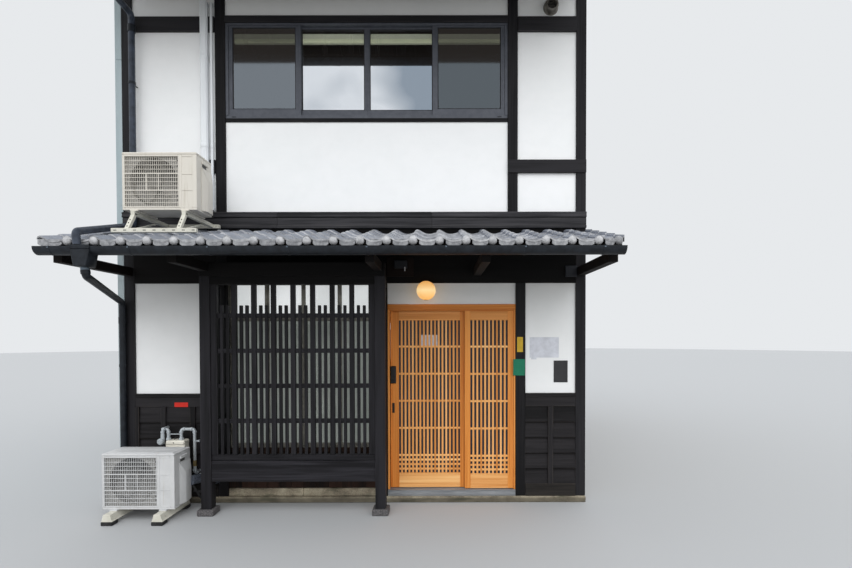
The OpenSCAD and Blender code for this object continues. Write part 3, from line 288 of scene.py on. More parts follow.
class Piece:
    """One made piece in one mesh: boards, drawn, bent and turned shapes, in millimetres until in place."""

    def __init__(self, name):
        self.name = name
        self.mesh = bmesh.new()
        layers = self.mesh.verts.layers
        self.grain = layers.float_vector.new("grain")
        self.half = layers.float_vector.new("half")
        self.tone = layers.float.new("tone")
        self.eased = {}

    def mark(self, verts, axis, finish=0, tone=None):
        """Gives points their place on the board, whose length runs along axis, and their faces a finish."""
        tone = DRAWS.random() if tone is None else tone
        low = [min(v.co[i] for v in verts) / 1000 for i in range(3)]
        high = [max(v.co[i] for v in verts) / 1000 for i in range(3)]
        order = [axis] + [i for i in range(3) if i != axis]
        for v in verts:
            v[self.grain] = [v.co[i] / 1000 - (low[i] + high[i]) / 2 for i in order]
            v[self.half] = [(high[i] - low[i]) / 2 for i in order]
            v[self.tone] = tone
        for face in {face for v in verts for face in v.link_faces}:
            face.material_index = finish
        return verts

    def ease(self, verts, size):
        """Keeps the edges between some points for rounding by size when the piece is finished."""
        self.eased.setdefault(round(size, 2), []).extend({edge for v in verts for edge in v.link_edges})

    def board(self, x0, x1, y0, y1, z0, z1, ease=2.0, axis=None, finish=0, tone=None):
        """A straight piece between two corners."""
        sides = (x1 - x0, y1 - y0, z1 - z0)
        middle = Vector(((x0 + x1) / 2, (y0 + y1) / 2, (z0 + z1) / 2))
        shape = Matrix.LocRotScale(middle, None, Vector(sides))
        made = bmesh.ops.create_cube(self.mesh, size=1, matrix=shape)["verts"]
        self.mark(made, sides.index(max(sides)) if axis is None else axis, finish, tone)
        if ease:
            self.ease(made, min(ease, min(sides) * 0.3))
        return made

    def boards(self, rows, **options):
        """Straight pieces from a table of their corners, each with its easing if it has a seventh number."""
        for row in rows:
            self.board(*row, **options)

    def centred(self, x, width, *rest, **options):
        """A straight piece with its middle at x."""
        return self.board(x - width / 2, x + width / 2, *rest, **options)

    def drawn(self, outline, axis, start, end, ease=0.0, grain=None, finish=0, tone=None):
        """An outline drawn out along an axis. Its points are on the other two axes, in their order."""
        others = [i for i in range(3) if i != axis]
        verts = []
        for pair in outline:
            at = [0.0, 0.0, 0.0]
            at[axis], at[others[0]], at[others[1]] = start, pair[0], pair[1]
            verts.append(self.mesh.verts.new(at))
        face = self.mesh.faces.new(verts)
        grown = bmesh.ops.extrude_face_region(self.mesh, geom=[face])["geom"]
        far = [v for v in grown if isinstance(v, bmesh.types.BMVert)]
        shift = [0.0, 0.0, 0.0]
        shift[axis] = end - start
        bmesh.ops.translate(self.mesh, verts=far, vec=shift)
        if not face.is_valid:
            self.mesh.faces.new(verts)
        verts += far
        self.mark(verts, axis if grain is None else grain, finish, tone)
        if ease:
            self.ease(verts, ease)
        return verts

    def tube(self, points, diameter, bend=0.0, sides=16, finish=0, tone=None):
        """A bar or pipe along a line of points, turning each corner on a curve of radius bend."""
        straight, step_turn, arm_share = 0.02, 0.3, 0.48
        points = [Vector(p) for p in points]
        line = [points[0]]
        for before, corner, after in zip(points, points[1:], points[2:]):
            arms = (before - corner).normalized(), (after - corner).normalized()
            angle = arms[0].angle(arms[1])
            if bend <= 0 or angle > math.pi - straight:
                line.append(corner)
                continue
            shorter = min((before - corner).length, (after - corner).length)
            reach = min(bend / math.tan(angle / 2), arm_share * shorter)
            first, last = corner + arms[0] * reach, corner + arms[1] * reach
            steps = max(2, math.ceil((math.pi - angle) / step_turn))
            for share in [i / steps for i in range(steps + 1)]:
                line.append(first.lerp(corner, share).lerp(corner.lerp(last, share), share))
        line.append(points[-1])
        ways = [(b - a).normalized() for a, b in zip(line, line[1:])]
        ways = [ways[0]] + [(a + b).normalized() for a, b in zip(ways, ways[1:])] + [ways[-1]]
        start = Matrix.LocRotScale(line[0], ways[0].to_track_quat("Z", "Y"), None)
        ring = bmesh.ops.create_circle(
            self.mesh, cap_ends=True, segments=sides, radius=diameter / 2, matrix=start
        )["verts"]
        verts = list(ring)
        edges = list({e for v in ring for e in v.link_edges})
        for i in range(1, len(line)):
            grown = bmesh.ops.extrude_edge_only(self.mesh, edges=edges)["geom"]
            ring = [v for v in grown if isinstance(v, bmesh.types.BMVert)]
            edges = [e for e in grown if isinstance(e, bmesh.types.BMEdge)]
            swing = ways[i - 1].rotation_difference(ways[i]).to_matrix().to_4x4()
            move = Matrix.Translation(line[i]) @ swing @ Matrix.Translation(-line[i - 1])
            bmesh.ops.transform(self.mesh, matrix=move, verts=ring)
            verts += ring
        bmesh.ops.edgeloop_fill(self.mesh, edges=edges)
        return self.mark(verts, 2, finish, tone)

    def turned(self, outline, at, axis, sides=24, finish=0, tone=None):
        """A shape turned round an axis through at. The outline is (radius, place along the axis)."""
        old = set(self.mesh.verts)
        at = Vector(at)
        way, out = Vector((0, 0, 0)), Vector((0, 0, 0))
        way[axis], out[(axis + 1) % 3] = 1.0, 1.0
        verts = [self.mesh.verts.new(at + out * radius + way * along) for radius, along in outline]
        edges = [self.mesh.edges.new(pair) for pair in zip(verts, verts[1:])]
        bmesh.ops.spin(
            self.mesh, geom=verts + edges, cent=at, axis=way, angle=2 * math.pi, steps=sides, use_merge=True
        )
        made = [v for v in self.mesh.verts if v not in old]
        bmesh.ops.remove_doubles(self.mesh, verts=made, dist=0.01)
        made = [v for v in made if v.is_valid]
        return self.mark(made, axis, finish, tone)

    def copied(self, verts, shift):
        """A copy of some points and their faces, moved by shift."""
        geom = list(verts) + list({e for v in verts for e in v.link_edges})
        geom += list({f for v in verts for f in v.link_faces})
        made = bmesh.ops.duplicate(self.mesh, geom=geom)["geom"]
        twin = [v for v in made if isinstance(v, bmesh.types.BMVert)]
        bmesh.ops.translate(self.mesh, verts=twin, vec=shift)
        tone = DRAWS.random()
        for v in twin:
            v[self.tone] = tone
        return twin

    def set_in_place(self, body, finishes, replaces=(), smooth=35):
        """Rounds the kept edges and makes the mesh an object that moves with a body of the frame."""
        for size, edges in self.eased.items():
            bmesh.ops.bevel(
                self.mesh, geom=list({edge for edge in edges if edge.is_valid}), affect="EDGES", offset=size,
                segments=1, profile=0.5, material=-1, clamp_overlap=False,
            )
        bmesh.ops.recalc_face_normals(self.mesh, faces=self.mesh.faces[:])
        bmesh.ops.scale(self.mesh, vec=(0.001, 0.001, 0.001), verts=self.mesh.verts[:])
        data = bpy.data.meshes.new(self.name)
        self.mesh.to_mesh(data)
        self.mesh.free()
        for finish in finishes:
            data.materials.append(finish.material)
        data.shade_smooth()
        data.set_sharp_from_angle(angle=math.radians(smooth))
        made = bpy.data.objects.new(self.name, data)
        scene.collection.objects.link(made)
        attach(made, body)
        if replaces:
            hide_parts(*replaces)
        return made


def dress(node, finish):
    """Gives a node of the frame, whose shape is right as it is, its finish."""
    for slot in frame["nodes"][node].material_slots:
        slot.material = finish.material


def clouded(name, dark, light, scale, detail=4, ends=(0.3, 0.7), grain=0.55, **constants):
    """A finish whose colour drifts between dark and light in clouds of a scale, and those clouds."""
    made = Finish(name, **constants)
    clouds = made.noise(made.place(), scale, detail, grain)
    made.put("Base Color", made.graded(clouds, (ends[0], shade(*dark)), (ends[1], shade(*light))))
    return made, clouds


concrete = Finish("stained_concrete", Roughness=0.92)
where = concrete.place()
mottle = concrete.noise(where, 5.0, 6, 0.65)
grit = concrete.noise(where, 160.0, 3, 0.7)
damp = concrete.noise(concrete.stretch(where, (3.0, 3.0, 16.0)), 1.0, 5, 0.6)
cast = concrete.graded(
    mottle * 0.6 + grit * 0.4, (0.34, shade(78, 72, 62)), (0.48, shade(146, 136, 118)),
    (0.66, shade(200, 190, 166)),
)
cast = concrete.blend(damp.rise(0.50, 0.66) * 0.7, cast, shade(74, 76, 58))
cast = concrete.blend((1 - concrete.part(where, 2).rise(0.03, 0.075)) * 0.7, cast, shade(58, 56, 48))
concrete.put("Base Color", cast)
concrete.relief(mottle * 0.5 + grit * 0.5, 0.004)

SLAB_X0, SLAB_X1, SLAB_Y0, SLAB_Y1, _, CURB_TOP = span("ground_slab")
SLAB_TOP = 60.0
CURB_Y0, CURB_Y1, UNEVEN = 8, 100, 3
BAY_X0, BAY_X1 = span("bay_window_frame")[:2]
CURB_LENGTH = (BAY_X1 - BAY_X0) / 2
foundation = Piece("foundation")
foundation.board(SLAB_X0, SLAB_X1, SLAB_Y0, SLAB_Y1, 0, SLAB_TOP, 6)
for i in range(2):
    foundation.board(
        BAY_X0 + i * CURB_LENGTH + 1, BAY_X0 + (i + 1) * CURB_LENGTH - 1, CURB_Y0 + DRAWS.uniform(0, UNEVEN),
        CURB_Y1, SLAB_TOP, CURB_TOP - DRAWS.uniform(0, UNEVEN), 5, 0,
    )
foundation.set_in_place("house", [concrete], ["ground_slab"])

# Timber frame of the front: square cedar posts and the beams tenoned between them, planed and
# stained black. The end posts and the window post run through both storeys.


def timber(name, dark, light, worn, roughness=0.62, fibre=0.0009):
    """Stained wood: fine fibres and broad growth bands along each board, and worn edges."""
    made = Finish(name, Roughness=roughness, Specular_IOR_Level=0.22)
    where = made.along()
    fibres = made.noise(made.stretch(where, (2.0, 70.0, 70.0)), 1.0, 6, 0.62, 0.3)
    bands = made.noise(made.stretch(where, (0.7, 9.0, 9.0)), 1.0, 3, 0.5, 0.8)
    mixed = fibres * 0.5 + bands * 0.5 + (made.tone() - 0.5) * 0.22
    wood = made.graded(mixed, (0.38, dark), (0.62, light))
    wood = made.blend(made.edge(0.005) * fibres.rise(0.40, 0.62) * 0.55, wood, worn)
    made.put("Base Color", wood)
    made.put("Roughness", roughness - 0.12 + fibres * 0.24)
    made.relief(fibres * 0.7 + bands * 0.3, fibre)
    return made


black_timber = timber("black_timber", shade(18, 17, 19), shade(40, 39, 42), shade(76, 72, 70))
FRONT_X0, FRONT_X1, _, POST, _, PLATE = span("front_posts")
LEFT_X, RIGHT_X = FRONT_X0 + POST / 2, FRONT_X1 - POST / 2
WINDOW_X, DOOR_X0 = BAY_X0 - POST / 2, BAY_X1 + POST / 2
DOOR_X1 = span("door_frame")[1] + POST / 2
UPPER_X = span("window_frames")[1] + POST / 2
HEAD, UPPER = span("storey_beams")[4:]
GIRDER = 2560.0

posts = Piece("front_post_timbers")
for x, low, high in (
    (LEFT_X, SLAB_TOP, PLATE), (WINDOW_X, SLAB_TOP, PLATE), (RIGHT_X, SLAB_TOP, PLATE),
    (DOOR_X0, SLAB_TOP, HEAD), (DOOR_X1, SLAB_TOP, HEAD), (UPPER_X, UPPER, PLATE),
):
    posts.centred(x, POST, 0, POST, low, high, 3)
posts.set_in_place("house", [black_timber], ["front_posts"])

beams = Piece("storey_beam_timbers")
for x0, x1 in ((LEFT_X + POST / 2, WINDOW_X - POST / 2), (WINDOW_X + POST / 2, RIGHT_X - POST / 2)):
    beams.board(x0, x1, 0, POST, HEAD, GIRDER, 3)
    beams.board(x0, x1, 0, POST, GIRDER, UPPER, 3)
# A darker copy of the black stain, for the storey beams and the bay's head beam under the pent roof and the
# strips under the wainscot's boards: painted shade.
shade_painted_timber = timber("shade_painted_timber", shade(7, 6, 6), shade(19, 17, 17), shade(38, 34, 32), 0.8)
beams.set_in_place("house", [shade_painted_timber], ["storey_beams"])

PROUD = 12.0
_, _, _, HOUSE_Y1, _, EAVE = span("upper_beams")
WALL_Y = span("upper_plaster")[2]
WINDOW_TOP = span("window_frames")[5]
HIGH_BEAM = (WINDOW_TOP - 93, WINDOW_TOP + 51)
LOW_BEAM = (UPPER + 398, UPPER + 527)
WINDOW_HEAD = 65
upper = Piece("upper_beam_timbers")
for x0, x1 in ((LEFT_X, WINDOW_X), (UPPER_X, RIGHT_X)):
    upper.board(x0 + POST / 2, x1 - POST / 2, -PROUD, WALL_Y, *HIGH_BEAM)
upper.board(WINDOW_X - POST / 2 - 115, WINDOW_X - POST / 2, -PROUD, WALL_Y, *LOW_BEAM)
upper.board(UPPER_X - POST / 2, RIGHT_X + POST / 2, -PROUD, 0, *LOW_BEAM)
upper.board(UPPER_X + POST / 2, RIGHT_X - POST / 2, 0, WALL_Y, *LOW_BEAM, 0)
upper.board(WINDOW_X + POST / 2, UPPER_X - POST / 2, -PROUD / 2, POST, WINDOW_TOP, WINDOW_TOP + WINDOW_HEAD)
for y0 in (0, HOUSE_Y1 - POST):
    upper.board(FRONT_X0, FRONT_X1, y0, y0 + POST, PLATE, EAVE, 3)
upper.set_in_place("house", [black_timber], ["upper_beams"])

# Flashing boards: cedar nailed to the girder where the pent roof meets the wall, bleached grey by
# the weather. A strip lies on the tiles, then a wide board, then a rail with a rounded front.
grey_board = timber("grey_board", shade(36, 36, 38), shade(66, 65, 68), shade(106, 104, 102), 0.75, 0.0016)
STRIP_Z = span("flashing_boards")[4]
flashing = Piece("grey_flashing")
RAIL_FOOT = UPPER - 53
for i in range(3):
    x0 = FRONT_X0 + i * (FRONT_X1 - FRONT_X0) / 3 + 1
    x1 = x0 + (FRONT_X1 - FRONT_X0) / 3 - 2
    flashing.board(x0, x1, -28, 0, STRIP_Z, STRIP_Z + 25, 2, tone=0.5)
    flashing.board(x0, x1, -18, 0, STRIP_Z + 26, RAIL_FOOT - 7, 2, tone=0.5)
    flashing.board(x0, x1, -12, 0, RAIL_FOOT - 7, RAIL_FOOT, 0)
    flashing.drawn(
        [(0, RAIL_FOOT), (-24, RAIL_FOOT), (-29, RAIL_FOOT + 5), (-30, RAIL_FOOT + 15), (-26, RAIL_FOOT + 25),
         (-26, UPPER - 20), (-30, UPPER - 14), (-30, UPPER - 2), (-28, UPPER), (0, UPPER)], 0, x0, x1,
    )
flashing.set_in_place("house", [grey_board], ["flashing_boards"])

# Side cladding: ribbed steel sheet over the left party wall, which stands free above the passage.
# Four rows of sheets, each lapped over the one below, screwed to battens.
sheet_steel = Finish("painted_sheet_steel", Roughness=0.5, Metallic=0.0)
where = sheet_steel.place()
runs = sheet_steel.noise(sheet_steel.stretch(where, (4.0, 4.0, 0.5)), 1.0, 5, 0.6)
spots = sheet_steel.noise(where, 22.0, 4, 0.6)
painted = sheet_steel.graded(runs, (0.3, shade(150, 165, 170)), (0.65, shade(178, 190, 194)))
painted = sheet_steel.blend(spots.rise(0.62, 0.75) * 0.35, painted, shade(128, 118, 104))
sheet_steel.put("Base Color", painted)
sheet_steel.relief(runs, 0.001)

CLAD_X0, CLAD_X1, _, _, CLAD_Z0, CLAD_Z1 = span("side_cladding")
RIB, RIB_DEPTH, FIRST_RIB_Y = 130.0, 9, 40
inner_x = CLAD_X0 + RIB_DEPTH
outer_x = inner_x - RIB_DEPTH
rib_run = HOUSE_Y1 - 2 * FIRST_RIB_Y
count = math.floor(rib_run / RIB)
pitch = rib_run / count
outline = [(CLAD_X1, 7), (outer_x, 7), (outer_x, FIRST_RIB_Y)]
for i in range(count):
    y = FIRST_RIB_Y + i * pitch
    outline += [(outer_x, y + 6), (inner_x, y + 18), (inner_x, y + pitch - 28), (outer_x, y + pitch - 14)]
outline += [(outer_x, HOUSE_Y1), (CLAD_X1, HOUSE_Y1)]
cladding = Piece("ribbed_cladding")
row_tops = [CLAD_Z0, 1850, 3650, EAVE - 100, CLAD_Z1]
for low, high in zip(row_tops, row_tops[1:]):
    cladding.drawn(outline, 2, low + 2, high)
middle = HOUSE_Y1 / 2
slope = (CLAD_Z1 - EAVE) / middle
for sign in (-1, 1):
    geom = cladding.mesh.verts[:] + cladding.mesh.edges[:] + cladding.mesh.faces[:]
    cut = bmesh.ops.bisect_plane(
        cladding.mesh, geom=geom, plane_co=(0, middle, CLAD_Z1), plane_no=(0, sign * slope, 1),
        clear_outer=True,
    )
    rim = [e for e in cut["geom_cut"] if isinstance(e, bmesh.types.BMEdge)]
    bmesh.ops.holes_fill(cladding.mesh, edges=rim, sides=0)
for low, high in ((CLAD_Z0, 2250), (2253, 4468), (4471, EAVE - 30)):
    cladding.board(CLAD_X0, CLAD_X1 - 1, 0, 6, low, high, 1)
cladding.set_in_place("house", [sheet_steel], ["side_cladding"])

# Plaster panels: lime plaster, trowelled flat between the posts of both storeys, clean and white,
# with faint trowel marks and a little grey where rain splashes up.


def plaster_finish(name, low, high, splash):
    made = Finish(name, Roughness=0.9)
    where = made.place()
    cloud = made.noise(where, 0.8, 3, 0.5)
    trowel = made.noise(made.stretch(where, (5.0, 5.0, 9.0)), 1.0, 4, 0.5, 0.5)
    sand = made.noise(where, 420.0, 2, 0.6)
    lime = made.graded(cloud * 0.7 + trowel * 0.3, (0.35, low), (0.62, high))
    lime = made.blend(splash * made.noise(where, 9.0, 4).rise(0.45, 0.7), lime, shade(150, 146, 138))
    made.put("Base Color", lime)
    made.relief(trowel * 0.5 + sand * 0.5, 0.0007)
    return made


white_plaster = plaster_finish("white_plaster", shade(234, 236, 237), shade(239, 240, 241), 0.02)
for node in ("upper_plaster", "lower_plaster"):
    dress(node, white_plaster)

# Wainscot: lapped cedar boards, stained black, with battens nailed over them, a rail and a cap. A
# thin dark strip under each board is painted shade in the lap, and the bottom rail is pale with
# splashed dirt.
wainscot_timber = timber(
    "wainscot_timber", shade(20, 19, 20), shade(42, 40, 42), shade(104, 96, 86), 0.7, 0.002
)
dusty_timber = timber("dusty_timber", shade(22, 21, 21), shade(46, 43, 41), shade(88, 80, 70), 0.85, 0.0016)
PANEL_BACK, CAP_TOP = span("lower_plaster")[3:5]
BOARDS_TOP = CAP_TOP - 134
CAP_H = 38
RAIL_TOP = SLAB_TOP + 124
LAP = 159.0


def lapped_wall(piece, x0, x1, battens):
    """Boards that lap downwards, the rail and cap over them, and the battens nailed through."""
    piece.board(x0, x1, 26, PANEL_BACK, SLAB_TOP, BOARDS_TOP, 0)
    top = BOARDS_TOP
    while top > SLAB_TOP + 126:
        foot = max(SLAB_TOP + 110, top - LAP)
        tilt = 12 * (top - foot) / LAP
        piece.drawn(
            [(14, top), (14 - tilt, foot + 3), (17 - tilt, foot), (29 - tilt, foot), (26, top)], 0, x0, x1,
            tone=DRAWS.random(),
        )
        # A dark strip under the board's foot: painted shade in the lap.
        piece.board(x0, x1, 9 - tilt, 24, foot - 7, foot, 0, finish=2)
        top -= LAP
    piece.board(x0, x1, -8, 26, SLAB_TOP, RAIL_TOP, 3, finish=1)
    piece.board(x0, x1, 2, PANEL_BACK, BOARDS_TOP, CAP_TOP - CAP_H, 2)
    piece.board(x0, x1, -8, PANEL_BACK, CAP_TOP - CAP_H, CAP_TOP, 3)
    for x in battens:
        piece.board(max(x0, x - 25), x + 25, -10, 20, RAIL_TOP, BOARDS_TOP, 2)


wainscot = Piece("lapped_wainscot")
lapped_wall(wainscot, LEFT_X + POST / 2, WINDOW_X - POST / 2, [LEFT_X + off for off in (62, 333, 630)])
lapped_wall(wainscot, DOOR_X1 + POST / 2, RIGHT_X - POST / 2, [(DOOR_X1 + RIGHT_X) / 2])
wainscot.set_in_place("house", [wainscot_timber, dusty_timber, shade_painted_timber], ["wainscot"])

# Upper window: a bronze-anodised aluminium frame with four sliding sashes. The outer two run in the
# front track, the inner two behind them; the insect screens before the outer two are not drawn. A
# slatted blind is drawn up inside.
dark_metal, brushed = clouded(
    "bronze_aluminium", (80, 83, 91), (90, 93, 101), 24.0, 5, (0.35, 0.65), 0.6, Roughness=0.42, Metallic=0.3
)
dark_metal.put("Roughness", 0.38 + brushed * 0.1)
dark_metal.relief(brushed, 0.0001)
gasket, _ = clouded(
    "black_gasket", (26, 26, 28), (42, 42, 45), 50.0, 3, Roughness=0.6, Specular_IOR_Level=0.3
)

WIN_X0, WIN_X1, WIN_Y0, _, _, WIN_Z1 = span("window_frames")
WIN_Z0 = WIN_Z1 - 990
WIN_Y1 = WIN_Y0 + 80
JAMB, STILE, SASH_T, BEAD = 68.0, 52.0, 26.0, 8
END_STILE, MEETING_STILE = 38, 25.5
SILL_TOP, HEAD_FOOT = WIN_Z0 + 66, WIN_Z1 - 20
PANE_W = (WIN_X1 - WIN_X0 - 2 * JAMB - 3 * STILE) / 4
PANE_Z0, PANE_Z1 = WIN_Z0 + 134, WIN_Z1 - 38
pane_edges = [WIN_X0 + JAMB + i * (PANE_W + STILE) for i in range(4)]

window = Piece("upper_window_frame")
window.board(WIN_X0, WIN_X1, WIN_Y0 - 6, WIN_Y1, WIN_Z0, WIN_Z0 + 36, 2, finish=2)
window.boards([
    (WIN_X0, WIN_X1, WIN_Y0 + 4, WIN_Y1, WIN_Z0 + 36, SILL_TOP, 1.5),
    (WIN_X0, WIN_X1, WIN_Y0, WIN_Y1, HEAD_FOOT, WIN_Z1, 1.5),
    (WIN_X0, WIN_X0 + 30, WIN_Y0, WIN_Y1, SILL_TOP, HEAD_FOOT, 1.5),
    (WIN_X1 - 30, WIN_X1, WIN_Y0, WIN_Y1, SILL_TOP, HEAD_FOOT, 1.5),
])
for y in (WIN_Y0 + 6, WIN_Y0 + 36):
    window.board(WIN_X0 + 30, WIN_X1 - 30, y, y + 3, SILL_TOP, SILL_TOP + 10, 0.5)
sash_y = [WIN_Y0 + 10, WIN_Y0 + 42, WIN_Y0 + 42, WIN_Y0 + 10]
left_stiles = [END_STILE, STILE, MEETING_STILE, STILE]
right_stiles = [STILE, MEETING_STILE, STILE, END_STILE]
for x0, y, left_stile, right_stile in zip(pane_edges, sash_y, left_stiles, right_stiles):
    x1 = x0 + PANE_W
    left, right_x = x0 - left_stile, x1 + right_stile
    window.board(left, right_x, y, y + SASH_T, WIN_Z0 + 71, PANE_Z0, 1.5)
    window.board(left, right_x, y, y + SASH_T, PANE_Z1, HEAD_FOOT, 1.5)
    for a, b in ((left, x0), (x1, right_x)):
        window.board(a, b, y, y + SASH_T, PANE_Z0, PANE_Z1, 1.5)
        window.board((a + b) / 2 - 3, (a + b) / 2 + 3, y - 2, y, PANE_Z0, PANE_Z1, 0.5)
    for a, b, c, d in (
        (x0, x1, PANE_Z0, PANE_Z0 + BEAD), (x0, x1, PANE_Z1 - BEAD, PANE_Z1),
        (x0, x0 + BEAD, PANE_Z0, PANE_Z1), (x1 - BEAD, x1, PANE_Z0, PANE_Z1),
    ):
        window.board(a, b, y + 5, y + SASH_T - 5, c, d, 1, finish=1)
for x in (WIN_X0 + 62, WIN_X1 - 104):
    window.board(x, x + 42, WIN_Y0 + 3, WIN_Y0 + 6, WIN_Z0 + 48, WIN_Z0 + 57, 1, finish=1)

# Back windows, plainly like the upper one: two fixed sashes a storey in the same metal.
BACK_X0, BACK_X1, BACK_Y0 = -850.0, 850.0, HOUSE_Y1 - 80
BACK_BAR = 60
back_rows = ((CAP_TOP, HEAD - 200), (WIN_Z0, WIN_Z1))
back_panes = []
for low, high in back_rows:
    pane_low, pane_high = low + BACK_BAR, high - BACK_BAR
    for x0 in (BACK_X0, BACK_X1 - BACK_BAR, -BACK_BAR / 2):
        window.board(x0, x0 + BACK_BAR, BACK_Y0, BACK_Y0 + BACK_BAR, pane_low, pane_high, 1.5)
    for z in (low, pane_high):
        window.board(BACK_X0, BACK_X1, BACK_Y0, BACK_Y0 + BACK_BAR, z, z + BACK_BAR, 1.5)
    back_panes.append((BACK_X0 + BACK_BAR, -BACK_BAR / 2, pane_low, pane_high))
    back_panes.append((BACK_BAR / 2, BACK_X1 - BACK_BAR, pane_low, pane_high))
window.set_in_place("house", [dark_metal, gasket, black_timber], ["window_frames"])

blind_metal, _ = clouded("blind_slats", (196, 200, 184), (222, 224, 208), 3.0, 3, (0.35, 0.65), Roughness=0.5)
# The slats glow by their tone: painted light standing in for the daylight on them.
painted_glow = blind_metal.graded(blind_metal.tone(), (0.2, shade(176, 182, 160)), (0.8, shade(204, 208, 186)))
blind_metal.glow(painted_glow, 0.5)
BLIND_Y = WIN_Y1 + 34
blind = Piece("upper_window_blind")
for edge in pane_edges:
    x0, x1 = edge - 16, edge + PANE_W + 16
    blind.board(x0, x1, BLIND_Y - 14, BLIND_Y + 14, PANE_Z1 - 66, PANE_Z1 - 12, 2)
    for row in range(4):
        z = PANE_Z1 - 77 - row * 10
        slat = [(BLIND_Y - 13, z), (BLIND_Y, z + 3), (BLIND_Y + 13, z), (BLIND_Y + 13, z + 2),
                (BLIND_Y, z + 5), (BLIND_Y - 13, z + 2)]
        blind.drawn(slat, 0, x0 + DRAWS.uniform(-3, 3), x1)
blind.set_in_place("house", [blind_metal])

# Glass. Upstairs it mirrors the street over a dark room. Its mirror tint drifts in clouds and darkens
# to the right, and it mirrors more at its foot than at its head: a painted reflection. It glows faintly
# as painted light from the room. The two outer panes are painted dimmer, as the shade of insect screens
# that are not drawn. The bay's panes are frosted and glow faintly, and the transoms glow brighter:
# painted light. The back's panes are clear.


def glass_finish(name, dull, bright, low, high, rough, painted_room_light):
    """Float glass over a room's painted light, its tint a painted reflection, mirroring by the share low at
    its foot, high at its head.
    """
    made = Finish(name, Metallic=1.0, Roughness=rough)
    where = made.place()
    film = made.noise(made.stretch(where, (1.5, 1.5, 2.2)), 1.0, 2, 0.45, 0.25)
    # The tint drifts in clouds and darkens to the right: a painted reflection of sky.
    sky = film * 0.6 + 0.4 - made.part(where, 0).rise(-0.2, 0.9) * 0.4
    made.put("Base Color", made.graded(sky, (0.40, dull), (0.66, bright)))
    made.put("Alpha", low + made.part(where, 2).rise(4.42, 4.64) * (high - low))
    # A faint glow from the glass: painted light of the room behind.
    made.surface.inputs["Emission Color"].default_value = (painted_room_light, painted_room_light * 0.88, painted_room_light * 0.8, 1)
    made.surface.inputs["Emission Strength"].default_value = 1.0
    return made


clear_glass = glass_finish(
    "upper_glass", (0.33, 0.39, 0.46, 1), (0.86, 0.89, 0.93, 1), 0.93, 0.30, 0.02, 0.008
)
painted_screen_shade_glass = glass_finish(
    "painted_screen_shade_glass", (0.11, 0.135, 0.155, 1), (0.205, 0.235, 0.265, 1), 0.85, 0.60, 0.06, 0.022
)
frosted, _ = clouded("frosted_glass", (150, 156, 152), (192, 196, 192), 2.2, Roughness=0.38)
where = frosted.place()
frosted.relief(frosted.noise(where, 300.0, 2), 0.0006)
# The frosted panes glow faintly in clouds: painted light from behind them.
painted_inner_glow = frosted.noise(where, 1.6, 3)
frosted.glow(frosted.graded(painted_inner_glow, (0.3, shade(150, 158, 150)), (0.7, shade(190, 198, 190))), 0.20)
# The transom glass glows with its own pale colour: painted light.
bright_frost = Finish("transom_glass", Roughness=0.3)
haze = bright_frost.noise(bright_frost.place(), 2.0, 4)
pale = bright_frost.graded(haze, (0.3, shade(206, 210, 210)), (0.7, shade(232, 235, 236)))
bright_frost.put("Base Color", pale)
bright_frost.glow(pale, 0.75)

BAY_Y0, BAY_Y1, BAY_Z0, BAY_Z1 = span("bay_window_frame")[2:]
BAY_RAIL = 45.0
BAY_HEAD = 16.0
TRANSOM_Z = BAY_Z1 - 360
BAY_PANE_W = (BAY_X1 - BAY_X0 - 5 * BAY_RAIL) / 4
bay_edges = [BAY_X0 + BAY_RAIL + i * (BAY_PANE_W + BAY_RAIL) for i in range(4)]
glass = Piece("window_panes")
for i, (x0, y) in enumerate(zip(pane_edges, sash_y)):
    finish = 1 if i in (0, 3) else 0
    glass.board(x0 + 2, x0 + PANE_W - 2, y + 10, y + 15, PANE_Z0 + 2, PANE_Z1 - 2, 0, finish=finish)
for x0 in bay_edges:
    y = (BAY_Y0 + BAY_Y1) / 2
    glass.board(x0, x0 + BAY_PANE_W, y, y + 5, BAY_Z0 + BAY_RAIL, TRANSOM_Z - BAY_RAIL / 2, 0, finish=2)
    glass.board(x0, x0 + BAY_PANE_W, y, y + 5, TRANSOM_Z + BAY_RAIL / 2, BAY_Z1 - BAY_HEAD, 0, finish=3)
for x0, x1, low, high in back_panes:
    glass.board(x0, x1, BACK_Y0 + 30, BACK_Y0 + 35, low, high, 0)
glass.set_in_place("house", [clear_glass, painted_screen_shade_glass, frosted, bright_frost], ["window_glass"])

# Window behind the lattice: a grey aluminium frame with four sashes and four transom lights, over
# a dado of upright cedar boards.
grey_metal, dull = clouded(
    "grey_aluminium", (128, 126, 118), (166, 162, 152), 14.0, 5, (0.35, 0.65), 0.6, Roughness=0.4,
    Metallic=0.3,
)
grey_metal.relief(dull, 0.0004)

SILL_H, BAR, EDGE, SASH_STILE = 20, 12, 22, 24
bay_window = Piece("bay_sashes")
for z0, z1 in (
    (BAY_Z0, BAY_Z0 + SILL_H), (TRANSOM_Z - BAR, TRANSOM_Z + BAR), (BAY_Z1 - BAY_HEAD / 2, BAY_Z1),
):
    bay_window.board(BAY_X0, BAY_X1, BAY_Y0, BAY_Y1, z0, z1, 1.5)
for x0 in (BAY_X0, BAY_X1 - EDGE):
    bay_window.board(x0, x0 + EDGE, BAY_Y0, BAY_Y1, BAY_Z0, BAY_Z1, 1.5)
lower_sash = (BAY_Z0 + SILL_H, BAY_Z0 + BAY_RAIL, TRANSOM_Z - BAY_RAIL / 2, TRANSOM_Z - BAR)
upper_sash = (TRANSOM_Z + BAR, TRANSOM_Z + BAY_RAIL / 2, BAY_Z1 - BAY_HEAD, BAY_Z1 - BAY_HEAD / 2)
